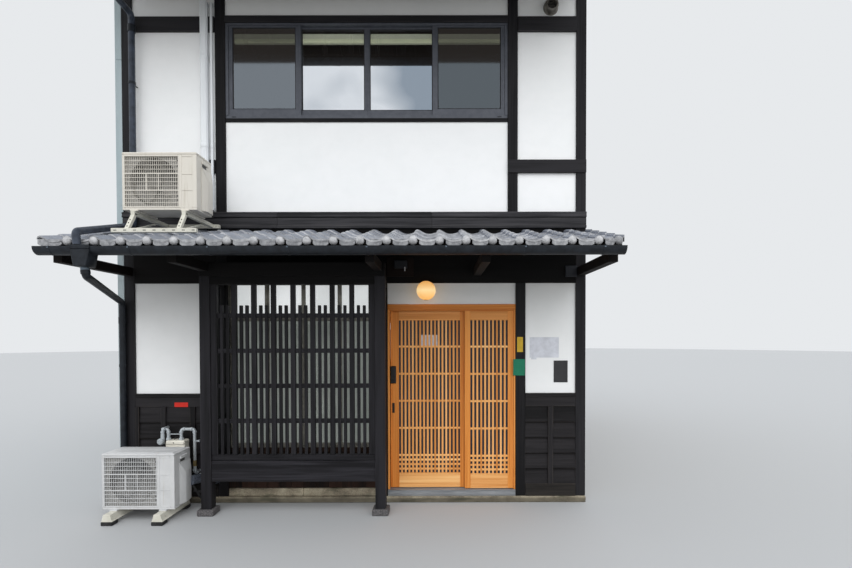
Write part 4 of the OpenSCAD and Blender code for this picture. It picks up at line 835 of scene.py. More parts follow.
for i, x0 in enumerate(bay_edges):
    x1 = x0 + BAY_PANE_W
    y = BAY_Y0 + (8 if i in (0, 3) else 20)
    for low, pane_low, pane_high, high in (lower_sash, upper_sash):
        for a, b in ((x0 - SASH_STILE, x0), (x1, x1 + SASH_STILE)):
            bay_window.board(a, b, y, y + 22, low, high, 1.5)
        bay_window.board(x0, x1, y, y + 22, low, pane_low, 1.5)
        bay_window.board(x0, x1, y, y + 22, pane_high, high, 1.5)
bay_window.set_in_place("house", [grey_metal], ["bay_window_frame"])

brown_timber = timber("brown_timber", shade(22, 15, 12), shade(56, 38, 30), shade(84, 64, 50), 0.7)
DADO_Y0, DADO_Y1, DADO_Z0, DADO_Z1 = span("bay_dado")[2:]
DADO_W = (BAY_X1 - BAY_X0) / 12
dado = Piece("dado_boards")
dado.board(BAY_X0, BAY_X1, DADO_Y0 + 8, DADO_Y1, DADO_Z0, DADO_Z1, 0)
dado.board(BAY_X0, BAY_X1, DADO_Y0 - 6, DADO_Y0 + 8, DADO_Z1 - 40, DADO_Z1, 2)
for i in range(12):
    x0, x1 = BAY_X0 + i * DADO_W + 1, BAY_X0 + (i + 1) * DADO_W - 1
    dado.board(x0, x1, DADO_Y0, DADO_Y0 + 9, DADO_Z0, DADO_Z1 - 41, 2)
dado.set_in_place("house", [brown_timber], ["bay_dado"])

# Lattice bay: two posts on dressed stones carry a head beam. Between them are deep sill boards and
# a lattice of thick bars with pairs of thin ones, lapped over cross rails, all stained blue-black.
bay_timber = timber("bay_timber", shade(14, 13, 15), shade(36, 35, 39), shade(78, 76, 80), 0.6)
LAT_X0, LAT_X1, LAT_Y0, LAT_Y1, LAT_Z0, LAT_Z1 = span("bay_front_lattice")
BAY_LEFT_X, BAY_RIGHT_X = LAT_X0 - 49, LAT_X1 + 49
BAY_POST = 98.0
BAY_POST_Y0, BAY_POST_Y1, STONE_TOP, BEAM_Z = span("bay_posts")[2:]
bay_posts = Piece("bay_post_pair")
for x in (BAY_LEFT_X, BAY_RIGHT_X):
    bay_posts.centred(x, BAY_POST, BAY_POST_Y0, BAY_POST_Y1, STONE_TOP, BEAM_Z, 3)
bay_posts.set_in_place("house", [bay_timber], ["bay_posts"])

granite = Finish("footing_stone", Roughness=0.9)
where = granite.place()
grains = granite.noise(where, 90.0, 4, 0.8)
granite.put(
    "Base Color",
    granite.graded(grains, (0.3, shade(46, 45, 46)), (0.5, shade(82, 80, 82)), (0.7, shade(126, 123, 122))),
)
granite.relief(grains * 0.4 + granite.noise(where, 14.0, 5) * 0.6, 0.006)
STONE_Y0, STONE_Y1 = span("bay_stones")[2:4]
stones = Piece("footing_stones")
for x in (BAY_LEFT_X, BAY_RIGHT_X):
    stones.centred(x, BAY_POST + 56, STONE_Y0, STONE_Y1, 0, STONE_TOP, 7, 0)
stones.set_in_place("house", [granite], ["bay_stones"])

HEAD_BEAM_TOP = span("bay_head")[5]
bay_head = Piece("bay_head_beam")
bay_head.board(
    BAY_LEFT_X - BAY_POST / 2, BAY_RIGHT_X + BAY_POST / 2, BAY_POST_Y0, BAY_POST_Y1, BEAM_Z, HEAD_BEAM_TOP, 4
)
bay_head.board(LAT_X0, LAT_X1, LAT_Y0 - 6, BAY_POST_Y1, LAT_Z1, BEAM_Z, 3)
for x in (BAY_LEFT_X, BAY_RIGHT_X):
    bay_head.centred(x, 60, BAY_POST_Y1, 0, LAT_Z1, BEAM_Z, 3)
# The head beam takes the darker copy of the black stain: painted shade under the pent roof.
bay_head.set_in_place("house", [shade_painted_timber], ["bay_head"])

sill_timber = timber("sill_timber", shade(20, 19, 22), shade(48, 47, 52), shade(88, 86, 90), 0.62, 0.0016)
SILL_Z0 = span("bay_sill_boards")[4]
RAIL_Z = LAT_Z0 - 56
sills = Piece("deep_sill_boards")
sills.board(LAT_X0, LAT_X1, LAT_Y0 - 4, LAT_Y1 - 8, SILL_Z0, RAIL_Z - 1, 3)
sills.board(LAT_X0, LAT_X1, LAT_Y0 + 6, LAT_Y1 + 8, RAIL_Z, LAT_Z0, 4, finish=1)
for x in (BAY_LEFT_X, BAY_RIGHT_X):
    sills.centred(x, 40, BAY_POST_Y1, 0, SILL_Z0, LAT_Z0, 3)
sills.set_in_place("house", [sill_timber, bay_timber], ["bay_sill_boards"])

THICK, THICK_PITCH, THIN, THIN_PITCH, CROSS, EDGE_BAR = 43.0, 184.5, 27.0, 55.0, 42.0, 60
lattice = Piece("front_lattice")
for x0 in (LAT_X0, LAT_X1 - EDGE_BAR):
    lattice.board(x0, x0 + EDGE_BAR, LAT_Y0, LAT_Y1, LAT_Z0, LAT_Z1, 3)
middle = (LAT_X0 + LAT_X1) / 2
thick_at = [middle + (i - 3) * THICK_PITCH for i in range(7)]
for x in thick_at:
    lattice.centred(x, THICK, LAT_Y0, LAT_Y1, LAT_Z0, LAT_Z1, 3)
end_gap = (thick_at[0] - THICK / 2 - LAT_X0 - EDGE_BAR) / 2 + THICK / 2
gaps = [thick_at[0] - end_gap] + [x + THICK_PITCH / 2 for x in thick_at[:-1]] + [thick_at[-1] + end_gap]
for x in gaps:
    for off in (-THIN_PITCH / 2, THIN_PITCH / 2):
        drop = 196 + DRAWS.uniform(-2, 2)
        lattice.centred(x + off, THIN, LAT_Y0 + 4, LAT_Y1 - 8, LAT_Z0, LAT_Z1 - drop, 2.5)
cross_at = [LAT_Z1 - 293 - i * 332 for i in range(4)]
for z in cross_at:
    lattice.board(
        LAT_X0 + EDGE_BAR, LAT_X1 - EDGE_BAR, LAT_Y0 + 12, LAT_Y1 - 4, z - CROSS / 2, z + CROSS / 2, 2.5
    )
lattice.set_in_place("house", [bay_timber], ["bay_front_lattice"])

side_lattice = Piece("side_lattices")
for x in (BAY_LEFT_X, BAY_RIGHT_X):
    for i in (1, 2, 3):
        y = BAY_POST_Y1 * (1 - i / 4)
        side_lattice.centred(x, 36, y - THIN / 2, y + THIN / 2, LAT_Z0, LAT_Z1, 2.5)
    for z in cross_at:
        side_lattice.centred(x, 20, BAY_POST_Y1, 0, z - CROSS / 2, z + CROSS / 2, 2)
side_lattice.set_in_place("house", [bay_timber], ["bay_side_lattices"])

# Entrance: a clear-finished cypress lintel and jambs over an aluminium threshold with two rails.
# Each leaf is a cypress frame with upright slats halved over cross bars, and dark glass behind.


def cypress(name, dark, light, bright):
    """Clear-finished softwood: straight fine fibres, growth bands and a few brighter streaks."""
    made = Finish(name, Roughness=0.45, Specular_IOR_Level=0.25)
    where = made.along()
    fibres = made.noise(made.stretch(where, (1.6, 120.0, 120.0)), 1.0, 6, 0.6, 0.2)
    bands = made.noise(made.stretch(where, (0.5, 22.0, 22.0)), 1.0, 4, 0.5, 1.0)
    wood = made.graded(
        fibres * 0.35 + bands * 0.65 + (made.tone() - 0.5) * 0.25, (0.30, dark), (0.52, light), (0.74, bright)
    )
    made.put("Base Color", wood)
    made.put("Roughness", 0.36 + fibres * 0.2)
    made.relief(fibres, 0.0003)
    return made


door_wood = cypress("door_cypress", shade(178, 98, 34), shade(214, 136, 62), shade(234, 162, 88))
pale_wood = cypress("pale_cypress", shade(204, 134, 70), shade(236, 178, 112), shade(248, 206, 148))
slat_wood = cypress("slat_cypress", shade(200, 128, 62), shade(228, 160, 92), shade(242, 184, 122))
DF_X0, DF_X1, _, _, THRESHOLD, LINTEL_TOP = span("door_frame")
LINTEL, FRAME_JAMB = LINTEL_TOP - 57, 18
OPEN_X0, OPEN_X1 = DF_X0 + FRAME_JAMB, DF_X1 - FRAME_JAMB
door_frame = Piece("lintel_and_jambs")
door_frame.board(DF_X0, DF_X1, 4, POST, LINTEL, LINTEL_TOP, 3)
for x0 in (DF_X0, OPEN_X1):
    door_frame.board(x0, x0 + FRAME_JAMB, 10, POST, THRESHOLD, LINTEL, 2)
for y in (20, 56):
    door_frame.board(OPEN_X0, OPEN_X1, y, y + 4, LINTEL - 12, LINTEL, 1)
door_frame.set_in_place("house", [door_wood], ["door_frame"])

plain_metal = Finish("plain_aluminium", Roughness=0.4, Metallic=0.8)
where = plain_metal.place()
scuffs = plain_metal.noise(plain_metal.stretch(where, (4.0, 60.0, 60.0)), 1.0, 5, 0.6)
rubbed = plain_metal.graded(scuffs, (0.35, shade(150, 154, 159)), (0.65, shade(186, 190, 194)))
plain_metal.put("Base Color", rubbed)
plain_metal.put("Roughness", 0.3 + scuffs * 0.3)
plain_metal.relief(scuffs, 0.0004)
RAILS_TOP = span("door_threshold")[5]
LEAF_T = 30.0
FIXED_Y, SLIDE_Y = span("fixed_leaf")[2], span("sliding_leaf")[2]
threshold = Piece("threshold_and_rails")
threshold.board(DF_X0, DF_X1, 6, POST, SLAB_TOP, THRESHOLD, 2)
threshold.board(DF_X0, DF_X1, 0, 6, SLAB_TOP, THRESHOLD - 14, 1.5)
threshold.board(DF_X0, DF_X1, 0, 6, THRESHOLD - 12, THRESHOLD, 1.5)
for y in (FIXED_Y + LEAF_T / 2, SLIDE_Y + LEAF_T / 2):
    threshold.board(OPEN_X0, OPEN_X1, y - 2, y + 2, THRESHOLD, RAILS_TOP, 1)
threshold.set_in_place("house", [plain_metal], ["door_threshold"])

dark_glass, smoke = clouded(
    "door_glass", (28, 35, 44), (46, 54, 66), 2.5, Roughness=0.12, Specular_IOR_Level=0.3
)
dark_glass.put("Roughness", 0.24 + smoke * 0.1)
LEAF_Z0, LEAF_Z1 = span("fixed_leaf")[4:]
OPEN_Z0, OPEN_Z1 = span("fixed_leaf_glass")[4:]
SLAT, SLAT_PITCH, BEADS = 19.5, 39, 17
bar_drops = (269, 548, 827, 1107, 1388, 1435, 1482, 1529)


def door_leaf(name, body, node, stile):
    """Stiles, rails, upright slats and cross bars of one leaf, and the pane behind them."""
    x0, x1, y0, y1 = span(node)[:4]
    made = Piece(name)
    a, b = x0 + stile, x1 - stile
    for left, right_x in ((x0, a), (b, x1)):
        made.board(left, right_x, y0, y1, LEAF_Z0, LEAF_Z1, 2)
    made.board(a, b, y0 + 0.5, y1 - 0.5, LEAF_Z0, OPEN_Z0, 2, 0, finish=1)
    made.board(a, b, y0 + 0.5, y1 - 0.5, OPEN_Z1, LEAF_Z1, 2, 0, finish=2)
    count = round((b - a - BEADS) / SLAT_PITCH)
    gap = (b - a - count * SLAT) / (count + 1)
    for i in range(count):
        x = a + gap + i * (gap + SLAT)
        made.board(x, x + SLAT, y0 + 2, y0 + 13, OPEN_Z0, OPEN_Z1, 2, finish=2)
    for drop in bar_drops:
        made.board(a, b, y0 + 3, y0 + 15, OPEN_Z1 - drop - 10, OPEN_Z1 - drop + 10, 1.5, finish=1)
    made.set_in_place(body, [door_wood, pale_wood, slat_wood], [node])
    pane = Piece(name + "_glass")
    pane.board(a, b, y0 + 18, y0 + 23, OPEN_Z0, OPEN_Z1, 0)
    pane.set_in_place(body, [dark_glass], [node + "_glass"])
    return a, b


door_leaf("left_leaf", "entrance_door", "sliding_leaf", 86)
door_leaf("right_leaf", "house", "fixed_leaf", 58)

black_plastic, haze = clouded("black_plastic", (12, 12, 13), (28, 28, 30), 40.0, Roughness=0.35)
black_plastic.put("Roughness", 0.25 + haze * 0.25)
LOCK_X0, _, LOCK_Y0, LOCK_Y1, PULL_Z, LOCK_Z1 = span("door_lock")
LOCK_W, LOCK_H, PULL_H = 58, 177, 102
LOCK_Z0, PULL_X = LOCK_Z1 - LOCK_H, LOCK_X0 + LOCK_W / 2
lock = Piece("keypad_lock")
lock.board(LOCK_X0, LOCK_X0 + LOCK_W, LOCK_Y0 + 4, LOCK_Y1, LOCK_Z0, LOCK_Z1, 5)
lock.board(LOCK_X0 + 5, LOCK_X0 + LOCK_W - 5, LOCK_Y0, LOCK_Y0 + 5, LOCK_Z0 + 70, LOCK_Z1 - 6, 1.5)
lock.turned([(0, -3), (16, -3), (18, 0), (18, 4), (0, 4)], (PULL_X, LOCK_Y0 + 3, LOCK_Z0 + 34), 1)
for a, b, c, d in ((-12, -7, 0, PULL_H), (7, 12, 0, PULL_H), (-7, 7, 0, 6), (-7, 7, PULL_H - 6, PULL_H)):
    lock.board(PULL_X + a, PULL_X + b, LOCK_Y1 - 3, LOCK_Y1, PULL_Z + c, PULL_Z + d, 1)
lock.board(PULL_X - 7, PULL_X + 7, LOCK_Y1 - 1, LOCK_Y1, PULL_Z + 6, PULL_Z + PULL_H - 6, 0)
lock.set_in_place("entrance_door", [black_plastic], ["door_lock"])

# Pent roof timbers: arms out of the wall and over the bay's beam carry an eave purlin. Rafters,
# roof boards and a fascia lie on it, all unpainted and darkened by age, and painted darker still as
# the shade under the pent roof.
aged_timber_painted_shade = timber("aged_timber_painted_shade", shade(10, 7, 6), shade(26, 17, 14), shade(46, 33, 26), 0.76, 0.0012)
ARM_Y0, _, ARM_Z0 = span("pent_roof_arms")[2:5]
ARM_TOP = HEAD_BEAM_TOP
PENT_TAN = math.tan(math.radians(15))
PENT_SEAT = span("pent_roof_boards")[5]
ROOF_BOARD, RAFTER, ARM, FASCIA = 15.0, 45.0, 75, 20
UNDER = ROOF_BOARD + RAFTER


def pent_z(y):
    """Height of the pent roof's boards at depth y."""
    return PENT_SEAT + PENT_TAN * y


def sloped(height, y0, y1, low, high):
    """Side view of a layer between two offsets from a slope, whose height at a depth is given."""
    return [(y0, height(y0) + low), (y1, height(y1) + low), (y1, height(y1) + high), (y0, height(y0) + high)]


arms = Piece("eave_arms")
DOOR_ARM_X = DOOR_X0 + 960
for x in (LEFT_X, DOOR_ARM_X, RIGHT_X):
    arms.centred(x, ARM, ARM_Y0, 0, ARM_Z0, ARM_TOP, 3)
for x in (WINDOW_X, DOOR_X0):
    arms.centred(x, ARM, ARM_Y0, BAY_POST_Y0, ARM_Z0, ARM_TOP, 3)
    arms.centred(x, ARM, BAY_POST_Y1, 0, ARM_Z0, ARM_TOP, 3)
PURLIN_Y0, PURLIN_Y1 = -865.0, -775.0
arms.drawn(
    [(PURLIN_Y0, ARM_TOP), (PURLIN_Y1, ARM_TOP), (PURLIN_Y1, pent_z(PURLIN_Y1) - UNDER),
     (PURLIN_Y0, pent_z(PURLIN_Y0) - UNDER)], 0, FRONT_X0, FRONT_X1, 2,
)
arms.set_in_place("house", [aged_timber_painted_shade], ["pent_roof_arms"])

FASCIA_Y0, _, FASCIA_Z0 = span("pent_roof_boards")[2:5]
FASCIA_Y1 = FASCIA_Y0 + FASCIA
rafters = Piece("eave_rafters")
for i in range(12):
    x = FRONT_X0 + i * (FRONT_X1 - FRONT_X0 - 40) / 11
    rafters.drawn(sloped(pent_z, FASCIA_Y1, 0, -UNDER, -ROOF_BOARD), 0, x, x + 40, 2, 1)
rafters.set_in_place("house", [aged_timber_painted_shade], ["pent_roof_rafters"])

roof_boards = Piece("eave_boards")
for i in range(7):
    y0, y1 = FASCIA_Y0 * (i + 1) / 7 + 1, FASCIA_Y0 * i / 7
    roof_boards.drawn(sloped(pent_z, y0, y1, -ROOF_BOARD, 0), 0, FRONT_X0, FRONT_X1)
roof_boards.board(FRONT_X0, FRONT_X1, FASCIA_Y0, FASCIA_Y1, FASCIA_Z0, pent_z(FASCIA_Y0) - ROOF_BOARD, 2)
roof_boards.set_in_place("house", [aged_timber_painted_shade], ["pent_roof_boards"])

# Roof tiles: smoked clay pantiles, silver grey with a dull sheen, each lapping the one on its right
# and the one below. The eave tiles have a hanging lip and a round boss. Lichen dulls some of them.
roof_tile = Finish("smoked_tile", Roughness=0.42, Metallic=0.1)
where = roof_tile.place()
fired = roof_tile.noise(where, 9.0, 5, 0.6)
film = roof_tile.noise(where, 60.0, 4, 0.7)
clay = roof_tile.graded(
    fired * 0.5 + film * 0.38 + roof_tile.tone() * 0.12, (0.30, shade(104, 108, 118)),
    (0.50, shade(136, 141, 152)), (0.72, shade(160, 165, 176)),
)
clay = roof_tile.blend(film.rise(0.60, 0.72) * 0.3, clay, shade(84, 84, 82))
roof_tile.put("Base Color", clay)
roof_tile.put("Roughness", 0.32 + film * 0.3)
roof_tile.relief(fired * 0.4 + film * 0.6, 0.0012)
# The tiles' front faces, the lips and the bosses take a paler finish: partly the clay's weathered ends,
# partly a painted highlight along the course edges. Its tone lifts the bosses above the lips: painted light
# on the domes.
tile_face = Finish("tile_face", Roughness=0.45, Metallic=0.1)
chalk = tile_face.noise(tile_face.place(), 30.0, 5, 0.7)
dust_and_painted_highlight = chalk * 0.75 + tile_face.tone() * 0.25
dust_and_painted_highlight = tile_face.graded(
    dust_and_painted_highlight, (0.30, shade(112, 113, 117)), (0.50, shade(160, 161, 164)), (0.75, shade(206, 206, 208))
)
tile_face.put("Base Color", dust_and_painted_highlight)
tile_face.relief(chalk, 0.001)

TILE_W = 213.7
TILE_T = 13.0
crest_line = (
    (-0.12, 30), (-0.06, 42), (0.0, 47), (0.07, 43), (0.15, 33), (0.25, 20), (0.37, 9), (0.50, 4),
    (0.64, 6), (0.76, 12), (0.88, 20),
)
BOSS_RISE, BOSS_GAP, LIP_START = 20, 36, 50


def tile_section(x):
    """Outline of a tile across the slope with its crest at x, from the top line round to the underside."""
    top = [(x + u * TILE_W, h) for u, h in crest_line]
    foot = [(x + u * TILE_W, h - TILE_T) for u, h in crest_line]
    return top + foot[::-1]


def lay_tile(piece, x, y0, y1, z0, z1, cut_x):
    """One tile from its front edge at y0, z0 to its back edge at y1, z1, cut off at both of cut_x."""
    verts = piece.drawn(tile_section(x), 1, y0, y1)
    # The front face takes the paler finish: partly weathered clay, partly a painted highlight on the course
    # edge.
    for face in {face for v in verts for face in v.link_faces}:
        if all(v.co.y < y0 + 1 for v in face.verts):
            face.material_index = 1
    for v in verts:
        share = (v.co.y - y0) / (y1 - y0)
        v.co.z += z0 + share * (z1 - z0)
        v.co.x = max(min(v.co.x, cut_x[1]), cut_x[0])
    return verts


def eave_lip(piece, x0, x1, y, z):
    """The plate that hangs between two bosses: a straight top and a straight foot with round corners."""
    steps, thickness, hang, roundness = 12, 13, 15, 2.6
    foot = []
    for i in range(steps + 1):
        depth = hang * min(1, roundness * math.sin(math.pi * i / steps))
        foot.append((x0 + (x1 - x0) * i / steps, z - 6 - depth))
    line = [(x1, z + 32), (x0, z + 32)] + foot
    # The lips take a low tone, painted darker than the bosses.
    piece.drawn(line, 1, y + 7, y + 7 + thickness, 1.5, finish=1, tone=DRAWS.uniform(0.1, 0.4))


PENT_Y0 = span("pent_roof_tiles")[2]
COURSE, LAP_BACK, COURSE_RISE, EAVE_ROWS = 206.0, 28, 13, 22
FIRST_CREST = FRONT_X0 + 195
TILES_X0, TILES_X1 = FRONT_X0 - 40, FRONT_X1
LAST_BOSS = TILES_X1 - 40
tiles = Piece("eave_tiles")
for row in range(5):
    y0 = PENT_Y0 + 4 + row * COURSE
    y1 = min(y0 + COURSE + LAP_BACK, -1)
    for k in range(-1, EAVE_ROWS):
        x = FIRST_CREST + k * TILE_W
        if x + crest_line[0][0] * TILE_W > TILES_X1 - 12:
            continue
        shift = DRAWS.uniform(-1.5, 1.5)
        crest, z0 = x + DRAWS.uniform(-1, 1), pent_z(y0) + COURSE_RISE
        lay_tile(tiles, crest, y0 + shift, y1, z0, pent_z(y1) + 1, (TILES_X0, TILES_X1))
EAVE_Z = pent_z(PENT_Y0)
boss_line = [(0, -9), (11, -8), (21, -4.5), (29, 1), (34, 7.5), (36.5, 15), (36.5, 24), (0, 24)]
eave_lip(tiles, TILES_X0 + 2, FIRST_CREST - 38, PENT_Y0, EAVE_Z)
for k in range(EAVE_ROWS):
    x = min(FIRST_CREST + k * TILE_W, LAST_BOSS)
    # All bosses but the last take a high tone, painted lighter than the lips as light on their domes.
    tone = DRAWS.uniform(0.8, 1.0) if k < EAVE_ROWS - 1 else 0.2
    tiles.turned(boss_line, (x, PENT_Y0, EAVE_Z + BOSS_RISE), 1, 24, 1, tone)
    if k < EAVE_ROWS - 1:
        eave_lip(tiles, x + LIP_START, min(x + TILE_W, LAST_BOSS) - BOSS_GAP, PENT_Y0, EAVE_Z)
tiles.set_in_place("house", [roof_tile, tile_face], ["pent_roof_tiles"], 40)

# Gutters: half-round dark resin troughs on steel straps at the eaves of both roofs, with stop ends.
gutter_resin, grime = clouded(
    "gutter_resin", (20, 23, 28), (38, 43, 50), 18.0, 5, (0.35, 0.7), 0.65, Roughness=0.4,
    Specular_IOR_Level=0.3,
)
gutter_resin.put("Roughness", 0.3 + grime * 0.35)
gutter_resin.relief(grime, 0.0004)
clip_metal, _ = clouded("strap_clips", (84, 96, 108), (116, 128, 140), 60.0, Roughness=0.4, Metallic=0.4)
GUT_X0, GUT_X1, GUT_Y0, GUT_Y1, GUT_Z0, MAIN_RIM = span("gutters")
GUTTER_R, STOP_END = 62.0, 4
PENT_RIM = GUT_Z0 + GUTTER_R
PENT_GUT_Y, MAIN_GUT_Y = GUT_Y0 + GUTTER_R, GUT_Y1 - GUTTER_R


def half_round(y, rim, radius, way=-1):
    """Points on a half circle under a rim, from its front to its back, or for way 1 from its back."""
    turns = [math.pi * i / 16 for i in range(17)]
    return [(y + way * radius * math.cos(a), rim - radius * math.sin(a)) for a in turns]


def trough(piece, x0, x1, y, rim, straps):
    """A half-round trough with a rolled front edge, its stop ends and the straps that hold it."""
    outer = half_round(y, rim, GUTTER_R)
    piece.drawn(outer + half_round(y, rim, GUTTER_R - 3, 1), 0, x0, x1, tone=0.5)
    for x in (x0, x1 - STOP_END):
        piece.drawn(outer, 0, x, x + STOP_END, tone=0.5)
    front = y - GUTTER_R
    piece.tube([(x0, front + 4, rim - 1), (x1, front + 4, rim - 1)], 8, sides=8)
    for x in straps:
        band = half_round(y, rim, GUTTER_R + 0.1) + half_round(y, rim, GUTTER_R + 2.4, 1)
        piece.drawn(band, 0, x - 9, x + 9)
        piece.centred(x, 18, front + 2, y + GUTTER_R, rim + 1, rim + 4, 0.5)
        piece.centred(x, 16, front - 2, front + 8, rim - 12, rim + 2, 1.5, finish=1)


gutters = Piece("gutter_troughs")
pent_straps = [FRONT_X0 + 109 + i * 626.0 for i in range(8)]
main_straps = [GUT_X0 + 120 + i * 640 for i in range(8)]
trough(gutters, GUT_X0 + 61, GUT_X1 - 5, PENT_GUT_Y, PENT_RIM, pent_straps)
trough(gutters, GUT_X0, GUT_X1, MAIN_GUT_Y, MAIN_RIM, main_straps)
gutters.set_in_place("house", [gutter_resin, clip_metal], ["gutters"])

# Downpipes: dark resin. One comes down from the main gutter and over the pent roof into the
# collector. The other leaves the collector's foot, bends back to the wall and runs to the ground.
PIPE, OVER_TILES = 60.0, 95.0
UPPER_PIPE_X, PIPE_Y = -2191.0, -65.3
COLLECTOR_X, COLLECTOR_TOP, COLLECTOR_FOOT = -1975.0, PENT_RIM + 12, PENT_RIM - 157
LOWER_X, LOWER_Y = FRONT_X0, -35.3
pipes = Piece("rain_pipes")


def pipe_clip(x, y, z, wall_y):
    """A strap round a pipe and its stem into the wall."""
    pipes.tube([(x, y, z - 12), (x, y, z + 12)], PIPE + 8, sides=24)
    pipes.centred(x, 12, y + PIPE / 2, wall_y, z - 3, z + 3, 0.5)


def socket(x, y, z0, z1):
    pipes.tube([(x, y, z0), (x, y, z1)], PIPE + 10, sides=24)


BEND_Y, WALL_Z, TRESTLE_Y = PENT_Y0 - 36, pent_z(PIPE_Y), -283
upper_run = [
    (UPPER_PIPE_X, MAIN_GUT_Y, MAIN_RIM - GUTTER_R + 4), (UPPER_PIPE_X, MAIN_GUT_Y, MAIN_RIM - GUTTER_R - 60),
    (UPPER_PIPE_X, PIPE_Y, 4882), (UPPER_PIPE_X, PIPE_Y, WALL_Z + OVER_TILES),
    (COLLECTOR_X - 60, BEND_Y, pent_z(BEND_Y) + OVER_TILES), (COLLECTOR_X - 50, BEND_Y, PENT_RIM + 20),
]
pipes.tube(upper_run, PIPE, 55, 24, finish=2)
socket(UPPER_PIPE_X, PIPE_Y, 4700, 4770)
socket(UPPER_PIPE_X, PIPE_Y, WALL_Z + 190, WALL_Z + 260)
for z in (3400, 4200):
    pipe_clip(UPPER_PIPE_X, PIPE_Y, z, WALL_Y)
TRESTLE_Z = pent_z(TRESTLE_Y)
pipes.centred(
    FIRST_CREST, 30, TRESTLE_Y - 15, TRESTLE_Y + 15, TRESTLE_Z + 56, TRESTLE_Z + OVER_TILES - 26, 2
)
lower_run = [
    (COLLECTOR_X - 5, PENT_GUT_Y, COLLECTOR_FOOT + 5), (COLLECTOR_X + 5, PENT_GUT_Y, COLLECTOR_FOOT - 70),
    (LOWER_X, LOWER_Y, COLLECTOR_FOOT - 214), (LOWER_X, LOWER_Y, 100),
]
pipes.tube(lower_run, PIPE, 60, 24)
for x0, x1, rise, drop, wider, finish in ((-5, 0, 6, 26, 4, 1), (0, 3, -24, 52, 9, 0)):
    above = (COLLECTOR_X + x0, PENT_GUT_Y, COLLECTOR_FOOT + rise)
    below = (COLLECTOR_X + x1, PENT_GUT_Y, COLLECTOR_FOOT - drop)
    pipes.tube([above, below], PIPE + wider, sides=24, finish=finish)
socket(LOWER_X, LOWER_Y, 1820, 1885)
for z in (560, 1400):
    pipe_clip(LOWER_X, LOWER_Y, z, 4)
COL_Y0, COL_D = PENT_GUT_Y - GUTTER_R - 8, 127.0
COL_Y1 = COL_Y0 + COL_D
HALF_FOOT, HALF_TOP, LIP = 51.0, 81.0, 4
pipes.drawn(
    [(COLLECTOR_X - HALF_FOOT, COLLECTOR_FOOT), (COLLECTOR_X + HALF_FOOT, COLLECTOR_FOOT),
     (COLLECTOR_X + HALF_TOP - 3, COLLECTOR_TOP - 30), (COLLECTOR_X - HALF_TOP + 3, COLLECTOR_TOP - 30)],
    1, COL_Y0 + 3, COL_Y1 - 3, 6,
)
pipes.centred(COLLECTOR_X, 2 * HALF_TOP, COL_Y0, COL_Y1, COLLECTOR_TOP - 32, COLLECTOR_TOP - 18, 4)
for y0 in (COL_Y0, COL_Y1 - LIP):
    pipes.centred(COLLECTOR_X, 2 * HALF_TOP, y0, y0 + LIP, COLLECTOR_TOP - 20, COLLECTOR_TOP, 1)
# A lighter copy of the gutter resin for the upper pipe: painted light on the pipe where it stands in the
# open.
painted_lit_pipe_resin, _ = clouded(
    "painted_lit_pipe_resin", (38, 44, 54), (62, 70, 84), 18.0, 5, Roughness=0.4, Specular_IOR_Level=0.4
)
pipes.set_in_place("house", [gutter_resin, clip_metal, painted_lit_pipe_resin], ["downpipes"], 40)

# Shell of the house: party walls of clay and mortar between the frames, the back wall's frame and
# plaster, and the upper floor of cedar boards.
dress("party_walls", plaster_finish("clay_wall", shade(128, 116, 100), shade(158, 146, 128), 0.35))
dress("back_panels", plaster_finish("back_plaster", shade(214, 215, 212), shade(228, 229, 226), 0.15))

BACK_Y, BACK_BEAM = HOUSE_Y1 - POST, 80.0
back = Piece("back_timbers")
for x in (LEFT_X, BACK_X0 - POST / 2, BACK_X1 + POST / 2, RIGHT_X):
    back.centred(x, POST, BACK_Y, HOUSE_Y1, SLAB_TOP, PLATE, 3)
for x0, x1 in (
    (LEFT_X + POST / 2, BACK_X0 - POST), (BACK_X0, BACK_X1), (BACK_X1 + POST, RIGHT_X - POST / 2),
):
    back.board(x0, x1, BACK_Y, HOUSE_Y1, GIRDER, UPPER, 3)
for low in (back_rows[0][1], CAP_TOP - BACK_BEAM, WIN_Z0 - BACK_BEAM, WIN_Z1):
    back.board(BACK_X0, BACK_X1, BACK_Y, HOUSE_Y1, low, low + BACK_BEAM, 3)
back.set_in_place("house", [black_timber], ["back_frame"])

floor_wood = timber("floor_cedar", shade(120, 88, 58), shade(168, 130, 90), shade(190, 156, 116), 0.5, 0.0006)
FLOOR_X0, FLOOR_X1, FLOOR_Y0, FLOOR_Y1, FLOOR_Z0, FLOOR_Z1 = span("upper_floor")
floor_boards = Piece("floor_boards")
for i in range(24):
    width = (FLOOR_X1 - FLOOR_X0) / 24
    x = FLOOR_X0 + i * width
    floor_boards.board(x, x + width - 1, FLOOR_Y0, FLOOR_Y1, FLOOR_Z0, FLOOR_Z1, 1.5)
floor_boards.set_in_place("house", [floor_wood], ["upper_floor"])

# Main roof: rafters and boards on the wall plates, pantiles on both slopes, and a ridge of flat
# tiles in mortar under round cap tiles, closed at both ends by a plain ridge-end tile.
ROOF_X0, ROOF_X1, ROOF_Y0 = span("main_roof_boards")[:3]
MAIN_TAN = math.tan(math.radians(21.8))
RAFTER_H, DECK = 90, 105.0
MIDDLE_Y = HOUSE_Y1 / 2


def main_z(y):
    """Height of the main roof's underside at depth y."""
    return EAVE + MAIN_TAN * min(y, HOUSE_Y1 - y)


def both_slopes(piece, made):
    """Repeats points of the front slope on the back slope."""
    twin = piece.copied(made, (0, 0, 0))
    for v in twin:
        v.co.y = HOUSE_Y1 - v.co.y
    bmesh.ops.reverse_faces(piece.mesh, faces=list({f for v in twin for f in v.link_faces}))


